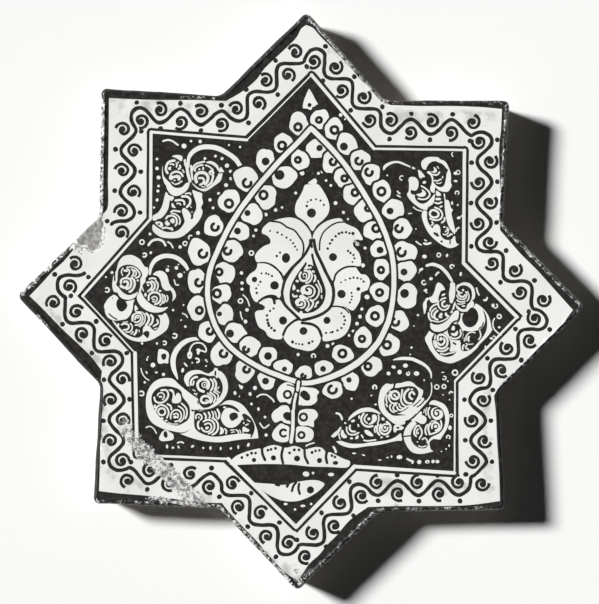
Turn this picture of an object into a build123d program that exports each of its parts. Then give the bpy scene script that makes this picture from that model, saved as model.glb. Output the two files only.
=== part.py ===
# Eight-pointed star wall tile: one slab of fired stonepaste, glazed on its face.
# The frame is the tile's own: it lies on its back, face up, origin at the middle of the back,
# +Z out of the face and +Y towards the top point.
import os
from math import cos, radians, sin

from build123d import *

# The star is an upright square over one turned by 45 degrees. Its sixteen corners lie about on the
# compass bearings, north at the top: eight points, and eight notches between them. It was cut by
# hand, so each corner of the face has its own reach from the middle, before it is rounded.
# All sizes are in millimetres.
reach_n = 103.6
reach_nne = 77.7
reach_ne = 103.4
reach_ene = 77.3
reach_e = 101.5
reach_ese = 77.9
reach_se = 104.2
reach_sse = 80.3
reach_s = 103.6
reach_ssw = 79.6
reach_sw = 103.6
reach_wsw = 77.9
reach_w = 101.5
reach_wnw = 78.2
reach_nw = 104.4
reach_nnw = 78.8
thickness = 15.0  # back to glazed face

# The sides lean in towards the back, so that faces meet closely and mortar fills the gap behind.
side_lean = 7.0  # degrees from upright
point_radius = 2.4  # worn points, in plan
notch_radius = 4.0  # inner corners, in plan
glaze_roll_radius = 1.6  # where the glaze rolls over the edge of the face
back_bevel = 0.8  # bevel round the back

# A flake of glaze and body is lost at the notch left of the top left point, and filled with plaster.
flake_width = 14.2  # across the shallow bowl, at the level of the face
flake_depth = 1.1  # at the middle of the bowl
flake_beside_notch = 4.2  # the bowl's middle lies this far outside the notch, to the left
flake_below_notch = 6.3  # and this far below it

reaches = [
    reach_n, reach_nne, reach_ne, reach_ene, reach_e, reach_ese, reach_se, reach_sse,
    reach_s, reach_ssw, reach_sw, reach_wsw, reach_w, reach_wnw, reach_nw, reach_nnw,
]
# how far the corners lie clockwise of their bearings, in degrees
drifts = [0, -1, 0, 0, 0, 1, -0.5, 1.2, -0.3, -2, -0.3, -1, 0, -1, 0.7, 0]

corners = []
for place, (reach, drift) in enumerate(zip(reaches, drifts)):
    bearing = radians(place * 360 / len(reaches) + drift)
    corners.append((reach * sin(bearing), reach * cos(bearing)))

notch_x, notch_y = corners[13]
flake_ball_radius = ((flake_width / 2) ** 2 + flake_depth**2) / (2 * flake_depth)
flake_centre = (
    notch_x - flake_beside_notch,
    notch_y - flake_below_notch,
    thickness - flake_depth + flake_ball_radius,
)

with BuildPart() as star_tile:
    with BuildSketch(Plane.XY.offset(thickness)):
        with BuildLine():
            Polyline(*corners, close=True)
        make_face()
    extrude(amount=-thickness, taper=side_lean)

    # The sixteen corner edges run from back to face: the eight nearest the middle are the notches.
    middle = (0, 0, thickness / 2)
    corner_edges = star_tile.edges().group_by(Axis.Z)[1].sort_by_distance(middle)
    point_count = len(corner_edges) // 2
    fillet(corner_edges[-point_count:], point_radius)
    upright_edges = star_tile.edges().group_by(Axis.Z)[1].sort_by_distance(middle)
    fillet(upright_edges[:point_count], notch_radius)

    fillet(star_tile.faces().sort_by(Axis.Z)[-1].edges(), glaze_roll_radius)
    chamfer(star_tile.faces().sort_by(Axis.Z)[0].edges(), back_bevel)

    with Locations(flake_centre):
        Sphere(flake_ball_radius, mode=Mode.SUBTRACT)

star_tile.part.label = "star_tile"

os.makedirs("parts", exist_ok=True)
export_step(star_tile.part, "parts/star_tile.step")
box = star_tile.part.bounding_box()
print("star_tile", box.min, box.max, "volume", round(star_tile.part.volume), "solids", len(star_tile.part.solids()))
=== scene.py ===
import math

import bmesh
import bpy
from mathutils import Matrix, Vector, geometry, kdtree, noise


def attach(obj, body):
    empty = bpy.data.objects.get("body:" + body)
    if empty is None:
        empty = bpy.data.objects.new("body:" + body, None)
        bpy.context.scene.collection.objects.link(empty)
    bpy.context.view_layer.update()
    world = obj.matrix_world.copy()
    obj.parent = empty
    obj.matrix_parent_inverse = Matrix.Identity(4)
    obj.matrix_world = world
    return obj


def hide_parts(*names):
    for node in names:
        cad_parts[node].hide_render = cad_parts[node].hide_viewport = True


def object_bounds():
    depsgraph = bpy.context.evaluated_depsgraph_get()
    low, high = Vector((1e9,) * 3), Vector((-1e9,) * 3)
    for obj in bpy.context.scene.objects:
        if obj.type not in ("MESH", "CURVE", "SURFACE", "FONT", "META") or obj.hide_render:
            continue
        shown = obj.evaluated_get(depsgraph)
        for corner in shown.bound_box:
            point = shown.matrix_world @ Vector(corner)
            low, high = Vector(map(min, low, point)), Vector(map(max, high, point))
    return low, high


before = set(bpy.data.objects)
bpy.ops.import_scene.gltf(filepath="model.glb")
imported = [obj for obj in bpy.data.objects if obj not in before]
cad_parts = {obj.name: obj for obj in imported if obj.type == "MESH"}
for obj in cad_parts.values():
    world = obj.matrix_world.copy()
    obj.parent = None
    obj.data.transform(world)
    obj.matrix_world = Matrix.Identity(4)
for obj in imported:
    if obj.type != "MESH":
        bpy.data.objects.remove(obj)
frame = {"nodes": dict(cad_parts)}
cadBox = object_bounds()
cadTile = frame["nodes"]["star_tile"]
print("frame loaded:", ", ".join(frame["nodes"]))

# The ornament is drawn in pixels of the photograph and laid on the face in millimetres.
photo = {
    "size": (599, 604),
    "middle": (301.2, 301.25),  # the tile's middle
    "pixel": 0.355,  # millimetres
    "turn": math.radians(1.1),  # the tile lies turned clockwise by this much
}
pale, dark = 0.0, 1.0  # bare glaze and full lustre


def onTile(x, y):
    across, up = x - photo["middle"][0], photo["middle"][1] - y
    c, s = math.cos(photo["turn"]), math.sin(photo["turn"])
    return photo["pixel"] * (across * c - up * s), photo["pixel"] * (across * s + up * c)


def inPhoto(x, y):  # back from millimetres to pixels
    c, s = math.cos(photo["turn"]), math.sin(photo["turn"])
    across, up = (x * c + y * s) / photo["pixel"], (y * c - x * s) / photo["pixel"]
    return photo["middle"][0] + across, photo["middle"][1] - up


# Every mark lies over the marks before it, so each one is a coat with its own number.
coats = {"tones": [], "fills": [], "strokes": [], "dabs": []}
brushes = {"ring": 2.4, "outline": 2.4, "frame": 2.8, "mark": 3.1}  # widths of the usual lines


def newCoat(tone):
    coats["tones"].append(tone)
    return len(coats["tones"]) - 1


def fill(tone, *outline):  # a patch with a smooth outline, where a third number makes a point sharp
    coats["fills"].append((newCoat(tone), outline))


def brush(tone, width, *points):  # a stroke, where a third number is the width at that point
    wide = [point if len(point) > 2 else (*point, width) for point in points]
    coats["strokes"].append((newCoat(tone), wide))


def dab(tone, x, y, across, down=None, turn=0):
    coats["dabs"].append((newCoat(tone), x, y, across, down or across, math.radians(turn)))


def arc(tone, x, y, radius, start, end, width):  # angles run clockwise from the right
    steps = max(2, round(abs(end - start) / 36))
    angles = [math.radians(start + (end - start) * step / steps) for step in range(steps + 1)]
    brush(tone, width, *[(x + radius * math.cos(a), y + radius * math.sin(a)) for a in angles])


def ring(tone, x, y, radius, width=None):
    arc(tone, x, y, radius, 0, 360, width or brushes["ring"])


def hook(tone, x, y, radius, gap=0, width=None):  # a ring left open towards the gap
    arc(tone, x, y, radius, gap + 50, gap + 310, width or brushes["ring"])


# The words of the motifs below. Numbers are x and y in turn, and a point with a third number is a tuple.
def pointsOf(numbers):
    points, rest = [], iter(numbers)
    for first in rest:
        points.append(first if isinstance(first, tuple) else (first, next(rest)))
    return points


def patch(*outline):
    fill(pale, *pointsOf(outline))


def inkPatch(*outline):
    fill(dark, *pointsOf(outline))


def line(width, *points):
    brush(pale, width, *pointsOf(points))


def inkLine(width, *points):
    brush(dark, width, *pointsOf(points))


def dots(*spots):  # x, y and radius, or the half sizes and the turn of an oval
    for spot in spots:
        dab(pale, *spot)


def inkDots(*spots):
    for spot in spots:
        dab(dark, *spot)


def paintMotif(motif):
    for marks in motif.values():
        for tool, *rest in marks:
            tool(*rest)


# The border: a dark rim, a pale band with a scrolling vine on it, and the star-shaped field inside.
border = {
    "band": [
        (306, 25, 1), (313, 28), (320, 36), (335, 51), (350, 67), (360, 79), (371, 89), (381, 97),
        (390, 105, 1), (420, 106), (450, 106), (480, 107), (502, 109, 1), (501, 130), (499, 150),
        (500, 180), (501, 200), (500, 230, 1), (520, 253), (537, 270), (555, 290), (573, 310, 1),
        (550, 340), (530, 358), (515, 371), (500, 386), (494, 396, 1), (496, 415), (497, 440), (499, 470),
        (500, 501, 1), (470, 505), (440, 506), (400, 506), (368, 507, 1), (350, 520), (337, 535),
        (327, 545), (319, 555), (310, 563), (303, 573), (298, 581, 1), (286, 573), (270, 558), (259, 543.5),
        (244, 528), (229, 512), (222, 503, 1), (200, 502), (150, 496), (120, 493.5), (99, 491, 1),
        (100, 460), (100, 420), (100, 390), (102, 371, 1), (90.5, 356), (76.5, 342.3), (62, 328.8),
        (41, 307), (29.5, 296, 1), (42, 283), (52, 272), (63.5, 261.5), (72, 251.5, 1), (80, 241),
        (92, 229), (103, 214, 1), (108, 206), (108, 180), (108.5, 150), (109, 98, 1), (140, 99.5),
        (170, 100), (200, 100), (226, 101, 1), (243, 91), (257, 79), (265, 68), (284, 50), (296, 38),
        (301, 29),
    ],
    "field": [
        (311, 70), (375, 146), (468, 147), (467, 262), (523, 316), (458, 383), (459, 476), (353, 470),
        (297, 533), (223, 462), (134, 456), (131.5, 350), (77, 296), (147, 221.5), (148.5, 129.5),
        (244, 137),
    ],
    # the pale line inside the field's edge, with its width on the way to the next corner
    "line": [
        (311.5, 75, 3.2), (374, 148.7, 2.2), (464.5, 150, 3.2), (463.5, 263, 3.6), (517, 317, 2.2),
        (455, 381, 1.6), (454.5, 473, 3.4), (354.5, 466.5, 4), (296, 527, 3.8), (228, 459, 2.2),
        (137, 455, 3.6), (135, 353, 1.3), (82.5, 296, 2.5), (150.5, 219, 3), (151, 132, 2.6),
        (247, 140, 1.2),
    ],
    # the middle of the band, from the patch of plaster round to it again
    "vine": [
        (117, 229), (127, 217), (129, 114), (234, 119), (308.5, 47), (383, 126), (485, 128), (483.5, 246),
        (548, 313), (477, 388), (479.5, 488), (361, 488), (297, 560), (223, 482), (116, 474), (117, 360),
        (52, 296), (79, 268),
    ],
    "halfWave": 20.5,  # pixels along the band
    "swing": 7.4,
    "stemWidth": 3.8,
    "sprigRadius": 7.6,
    "dotRadius": 2.6,
    "seed": 7,
}


def paintBorder():
    fill(pale, *border["band"])
    border["vineCoat"] = newCoat(dark)
    fill(dark, *[(x, y, 1) for x, y in border["field"]])
    corners = border["line"]
    for tone, edge in ((dark, 2 * brushes["frame"]), (pale, 0)):
        for (x, y, width), (nextX, nextY, nextWidth) in zip(corners, corners[1:] + corners[:1]):
            brush(tone, width + edge, (x, y), ((x + nextX) / 2, (y + nextY) / 2), (nextX, nextY))


# Small pale dots, rings and ticks scattered over the dark field, by their place in it.
ground = {
    "upper left": [
        (dots, (157, 159, 1.3), (157, 168.5, 1.8), (158.5, 177.5, 2), (158.5, 186, 1.3), (158, 191, 1.5),
         (157, 200, 1.6), (154, 207.5, 1.1), (184, 146, 2.5), (191, 141, 1.2), (200, 141.5, 1.7),
         (205, 158.5, 1.4), (215.5, 156, 1.4), (222, 158.5, 1.5), (227, 165.5, 2.2), (230.5, 171.5, 1.6),
         (231, 178.5, 1.6), (226, 185, 2), (218.5, 193.5, 1.5), (210, 200, 1.8), (213, 208, 1.4),
         (150, 234, 1.5), (198, 233, 2), (180, 247, 1.7), (229, 145, 1), (240, 147, 1.2)),
        (line, 1.8, 163, 141, 168, 139.8, 173, 141.5, 178, 145),
        (line, 2.4, 148.5, 245, 152, 241, 158, 239.5, 163, 241.5, 165.5, 245.5),
        (line, 1.6, 168, 242, 171, 244, 173, 247.5), (ring, pale, 142, 242, 2.2, 1.4),
        (ring, pale, 185, 243.5, 2, 1.4), (ring, pale, 190.5, 237.5, 2, 1.4),
    ],
    "middle left": [
        (dots, (150.8, 252.7, 1.4), (112, 272.5, 1.5), (106, 277, 1), (167.3, 270.3, 1.8),
         (168.3, 266.5, 0.8), (176.5, 267.8, 1.8), (178.5, 264.5, 0.8), (180, 275.5, 2.7),
         (184.3, 272.3, 0.7), (183.5, 305, 0.9), (181, 320, 0.8), (173, 310, 1.2), (142, 343.5, 1.2),
         (157, 343.5, 1.2), (185.5, 326.5, 1.3)), (hook, pale, 144.5, 255, 1.9, 180, 1.6),
        (hook, pale, 107, 290, 2.2, 180, 1.5), (hook, pale, 174.5, 336, 2.2, 190, 1.6),
        (hook, pale, 164.5, 343, 1.8, 180, 1.4),
        (line, 1.3, 174.3, 280, 174.8, 282.5, 176, 284.8, 178.5, 284.8),
        (line, 1.3, 182.5, 313.5, 185.5, 314.8, 187.5, 317.5),
    ],
    "lower left": [
        (dots, (153, 365, 2.3), (148, 357, 0.8), (144.8, 382.3, 1.2), (163.5, 374.5, 1.6), (255, 388, 2),
         (239.5, 396.5, 0.7), (251.5, 404, 1.4), (172.8, 447.8, 1.2), (203.3, 448, 1.1), (231, 448.5, 1.2),
         (254, 436.5, 0.8), (147, 359.5, 0.8, 1.5), (156.3, 372.5, 1.4, 1), (146.5, 372.5, 0.9, 1.5, -30)),
        (line, 1.1, 141, 368.5, 142, 373, 145, 377.5, 149, 380.3),
        (hook, pale, 141.5, 393.5, 2.2, 180, 1.5),
        (dots, (241, 386, 1.9, 3.2, -20), (235, 393, 1.5, 2, -15), (250, 394, 1.4, 2, -20),
         (258.5, 409, 1.3, 1.8), (167, 446.5, 1.1, 2), (178.5, 447, 0.9, 1.6, -30)),
        (line, 1.4, 177.5, 442.8, 180.5, 441.8, 183.5, 443),
        (dots, (192.5, 446.3, 1.9, 1.2, -30), (210.5, 448, 1.1, 2), (220.5, 448.5, 1, 1.7),
         (238.3, 447, 0.9, 2), (248.3, 444.8, 1.3, 2.1, 25)),
        (line, 1.2, 146, 427.5, 150, 426.5, 154, 429, 156.5, 433.5),
        (line, 1.5, 257, 397, 261, 394.5, 267, 395, 272, 399, 274, 402),
        (line, 1.5, 260, 423, 264, 428, 269, 425), (dots, (265, 417, 1.3), (266, 435, 1.6)),
    ],
    "upper right": [
        (dots, (455.4, 173.3, 1.9, 1.7)), (ring, pale, 458, 172.4, 2, 1), (dots, (455.7, 181, 1.9, 1.1)),
        (hook, pale, 457, 192.8, 1.8, 100, 1.2),
        (dots, (452, 203, 1, 1.8), (457.7, 205, 0.9, 1.1), (458.8, 217.8, 1.9, 1.4, -20),
         (462, 216, 1.4, 0.9, -30)), (line, 1.7, 456, 231, 457, 228.6, 459, 227.6),
        (line, 1.1, 408.5, 213.7, 411.5, 213.3), (line, 1.1, 452.5, 152.5, 451.6, 154.5, 453, 156.5),
        (dots, (465, 152.5, 1.2), (416, 229, 0.7)), (line, 2.1, 424, 243.5, 427, 244, 430.5, 243),
        (line, 1.4, 416, 241.5, 418.5, 243.5, 421, 244.8), (line, 1.2, 424.5, 240, 426.6, 241),
        (dots, (424.5, 256.5, 2.4, 1.9)), (ring, pale, 438.8, 255, 1.9, 1.2),
        (dots, (447, 255.3, 1.2, 1.8, 20)),
    ],
    "middle right": [
        (line, 2.4, (418.3, 273, 1.4), 419.6, 270.6, 422, 269), (hook, pale, 452, 266.5, 1.8, 45, 1.4),
        (dots, (460.7, 274, 1.3, 2.2, 10)), (line, 1.5, 476.6, 288, 477.6, 292, 479, 295),
        (patch, 483, 299.5, 485.5, 299, 487, 297, 488, 297.3, 487, 300.5, 484.5, 301.3),
        (dots, (493, 305.4, 1.6, 1.9)), (hook, pale, 495.6, 306, 2, 250, 1.3),
        (ring, pale, 499.3, 316.5, 2, 1.4),
        (line, 1.4, 494.5, 318.5, 493, 321.5, 493, 326, 494.5, 329.5, 498, 333, 501, 335),
        (dots, (499.3, 327.5, 1.4, 1.1), (491.5, 338.4, 1.7, 1.1)),
        (arc, pale, 494, 337.8, 1.7, -120, 100, 1.1),
        (dots, (485.5, 347, 1, 1.3), (418, 315, 1.1), (411.5, 347.5, 1.2), (410.3, 354.5, 0.8),
         (414, 326, 0.7)),
    ],
    "lower right": [
        (line, 2.1, 336.5, 413.3, 339, 414, 341, 416.5, 342, 419.5),
        (line, 2.2, 333.5, 447, 335, 449.5, 335.8, 452), (hook, pale, 374.6, 387.2, 1.9, 90, 1.6),
        (dots, (371.5, 395.5, 0.8), (351.5, 398.7, 1.1), (447.8, 381.3, 0.9), (449.5, 399.7, 0.7),
         (446, 449, 0.8), (441.5, 451.5, 0.7), (443, 395, 0.7), (340.5, 115, 1.7), (345, 119, 1),
         (375.5, 404.5, 1.3, 0.9), (354, 453.3, 2, 0.8), (363.5, 455, 1.7, 0.7, 20), (380, 460, 1.8, 0.6),
         (387.5, 457.5, 1.2, 0.7), (391.5, 456.5, 0.9, 1.2), (399.5, 457, 2.9, 2)),
        (line, 1.9, 407.4, 459, 409.5, 460.3, 412.8, 461.4, 412.3, 463),
        (dots, (419.2, 462, 2.2, 2.1), (427.3, 461.7, 2.4, 1.8)), (inkDots, (427.6, 462, 1.1, 0.6)),
        (dots, (433, 461.5, 1.7, 1.8), (437.4, 461.7, 2, 1.8)), (ring, pale, 455, 372.7, 2.5, 1.6),
        (hook, pale, 444.3, 378, 1.8, 200, 1.2), (ring, pale, 444, 386.5, 1.9, 1.4),
        (ring, pale, 436.7, 387, 2.1, 1.2), (line, 1.5, 449.5, 393.5, 450.6, 391.6, 452.5, 392.5),
        (ring, pale, 451.3, 415.5, 1.4, 1), (dots, (450, 427.8, 1.7, 2.2)),
        (hook, pale, 448.3, 437.2, 1.7, 100, 1.3), (dots, (449, 445.5, 0.8, 1.3), (443, 372.2, 1.7, 0.5)),
    ],
    "teardrop": [
        (dots, (302, 173, 2.4), (318.5, 173.5, 1.4), (322, 172, 1.4), (326, 180.5, 1.3), (331, 185.5, 1.4),
         (295.5, 193, 1.5), (282, 207.5, 1.3), (275.5, 210, 1.7), (266, 214.5, 1.8), (256, 230, 1.7),
         (253.5, 236, 1.4), (335.5, 203, 1.9), (343.5, 212.5, 1.5), (348, 219, 1.1), (365, 248, 1.5),
         (363, 265.5, 2), (241.5, 273, 1.7), (242, 283, 1.6), (242, 289, 1.5), (247, 310, 1.8),
         (245.5, 321.5, 1.9), (367, 297, 2.4), (362, 309, 1.6), (360, 316.5, 1.9), (357, 323.5, 1.8),
         (353, 331, 1.4), (349, 335.5, 1.3), (327.5, 346, 1.9), (333, 344, 1.5), (298, 354.5, 1.6)),
        (ring, pale, 251.5, 253, 2.1, 1.4), (ring, pale, 240.5, 301, 2.1, 1.4),
        (hook, pale, 313.5, 356, 1.9, 90, 1.4), (line, 1.3, 243, 295, 247, 299, 249.5, 306),
        (line, 1.3, 240.5, 312, 241, 316, 242.5, 319.5),
    ],
    "pond": [
        (dots, (313, 473, 1.3), (311, 504, 1.3), (295, 509.5, 1.2), (306, 474, 3.4, 2.6),
         (331, 474.5, 3, 1.8), (285.5, 504, 2, 1.2), (303, 506, 2.5, 1.2)),
    ],
}

# The six palmettes round the teardrop. Each has a tendril, two lobes and a leaf below.
upperLeftPalmette = {
    "tendril": [
        (line, 4.8, (188, 167, 2.8), (188.5, 159, 3.4), (192, 152.5, 4.4), 199, 148, 208, 146.8, 218, 148.5,
         228, 153.5, 236, 160, (241, 167.5, 4.4)), (dots, (184.7, 161, 1.2, 2)),
        (line, 3, 185.5, 164, 187, 167, 188, 174, 190, 181), (line, 2, 191, 166, 191.5, 172, 192.5, 179),
    ],
    "left lobe": [
        (patch, 162.5, 165.5, 162, 172, 162.7, 178, 164.3, 183, 166, 185.5, 167.5, 190, 171, 194.3,
         176, 196, 181, 194.5, 186, 191, 188.7, 187, 189.5, 182.5, 187, 182.8, 185.5, 183.5, 182, 187,
         177, 188, 173, 186.6, 170, 183, 167, 180, 164, 176.5, 163, 172),
        (patch, 172, 156.2, 176, 155, 180, 155.2, 182.5, 157, 182, 160.5, 180.5, 161, 177, 158.5),
        (line, 2.3, 167.5, 173, 166, 170, 166.3, 166, 168, 162.8, 171, 161, 174.5, 160.6),
        (line, 1.5, 170, 164.3, 172.5, 164, 173.8, 165.2), (dots, (170, 168.3, 2, 1.6)),
        (inkDots, (171.5, 168.3, 0.9)), (line, 1.5, 176.3, 163.2, 177, 165, 176.5, 167),
        (line, 1.9, 180, 165.5, 180.3, 167.5, 178.5, 169), (dots, (178.3, 162.5, 0.9)),
        (line, 2.1, 171, 174, 174, 172, 178, 171.8, 181.3, 173.5, 182.6, 176),
        (patch, 169, 177.5, 170, 174.8, 173, 175.8, 177, 174.8, 180.2, 176, 180.8, 178.5, 179.5, 180.5,
         177.8, 180.3, 177.5, 178.6, 175.5, 177.8, 173, 178.8, 171.5, 180, 169.5, 179.3),
        (dots, (174.6, 180.4, 1.1, 0.7)), (line, 1.5, 175.3, 184.3, 178.5, 183.5, 181.8, 181.3),
        (line, 1.1, 171.8, 182, 174, 183.8), (line, 1.4, 182.5, 169.5, 184, 172),
    ],
    "right lobe": [
        (patch, 206, 162.5, 209, 161, 213, 161.7, 216.5, 164, 218.5, 167, 219, 170, 217.8, 170.5,
         216, 167.5, 212.5, 164.8, 209, 163.5),
        (patch, 220.5, 167, 222.5, 169, 224, 171.5, 222.5, 174, 222, 177, 221, 180, 219, 182.5, 214, 186,
         209, 189.5, 204.5, 191.3, 199.5, 190, 195, 187, 191.5, 182.5, 193.5, 184, 198, 187.5, 203, 188.8,
         207.5, 187.5, 211.5, 184.5, 214.5, 181, 216.5, 177.5, 218.5, 173.5, 219, 170),
        (inkLine, 1.2, 219, 172.8, 223.5, 172.8),
        (line, 1.8, 192.5, 170, 193.5, 166.5, 197, 163.5, 201.5, 162.3, 204.5, 161.5),
        (line, 1.8, 195, 171, 195, 168.5, 197.5, 166.3, 200.5, 165.3, 202.5, 165),
        (dots, (199.3, 169.3, 1), (203, 168.5, 0.9, 1.8)),
        (line, 3, 196.5, 182, 195.5, 178, 197, 174, 201, 172.5, 205.5, 173.5, 208, 177, 207.5, 181,
         205, 184), (line, 2, 199, 178, 202.5, 178, 204, 180.5, 202.5, 183.5, 200, 184.8),
        (line, 1.5, 205.5, 165.3, 208.5, 166.3, 211.5, 168.3, 213, 169.7), (dots, (211.5, 172.5, 2.8)),
        (inkDots, (211.5, 173.3, 0.7)), (line, 2.2, 213, 175.5, 212.5, 179, 211, 183, 207, 186),
        (line, 1, 201.5, 186.5, 205, 187),
    ],
    "leaf": [
        (patch, 166, 192, 169, 195.3, 174, 197.2, 171.5, 201, 170, 199.8, 169.3, 203, 168.3, 208.5,
         165.5, 213.5, 161.5, 217.8, 158, 219, 155.5, 220.5, 152.8, 220, 152.8, 215.8, 157, 213.3,
         160.3, 209.5, 162.7, 204, 164.3, 197.5),
        (patch, 192.5, 190, 197, 191.5, 201.8, 193.5, 202, 198, 203, 203, 201, 207.3, 202.5, 211,
         201.5, 216, 198, 222, 192, 228.3, 185, 234.6, 178, 237.8, 168, 238.2, 160, 236.6, 153, 231,
         153, 224.5, 158, 228, 165, 231.6, 173, 232, 179, 229.7, 183, 225, 184.7, 221, 183, 215.5,
         182, 210.5, 184, 208, 188, 210.5, 191, 215, 190.6, 218.8, 193, 218.5, 193.7, 214, 196, 209.5,
         196.2, 204, 194.5, 198, 192.8, 193), (line, 1.8, 170.8, 211.8, 174, 210.6, 180, 211.6),
        (dots, (167.5, 223, 2.6), (172.5, 221, 2.5)), (inkLine, 1.5, 168.5, 221, 172.5, 224.3),
        (line, 1.9, 166, 218.5, 168, 216.5, 171.5, 215.8, 175, 217, 177, 220, 176.7, 223.5, 175.5, 225.5),
        (line, 1.5, 171.5, 213.5, 175, 214, 178.5, 216.5, 180.3, 220.5, 179.3, 224),
        (patch, 169.8, 227.5, 172, 227.3, 173.3, 230, 172, 230.7, 170, 229),
        (line, 1.8, 162.5, 228.5, 166, 227.5, 169.5, 228.5),
        (patch, 155, 222.5, 160, 221.5, 163, 224, 162, 227.5, 159, 226.5), (inkDots, (159, 224.2, 1.1)),
        (line, 2, 175.5, 200.5, 181, 200, 184.3, 201.5, 184.3, 204.5),
        (line, 1.3, 177, 203.5, 179.5, 203.3, 180.5, 205),
        (patch, 171.5, 203.8, 173, 203.3, 174.5, 206, 175.8, 207.5, 173, 207.8, 171.6, 206),
        (line, 2.2, 182, 196.3, 187, 196.5, 190, 199, 190, 203.5, 187, 207),
        (line, 1.4, 185.5, 193.5, 190, 193, 190.5, 194.5), (line, 0.8, 190.5, 206.5, 191.5, 207.5),
        (dots, (191.8, 212, 0.7)),
    ],
}
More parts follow.
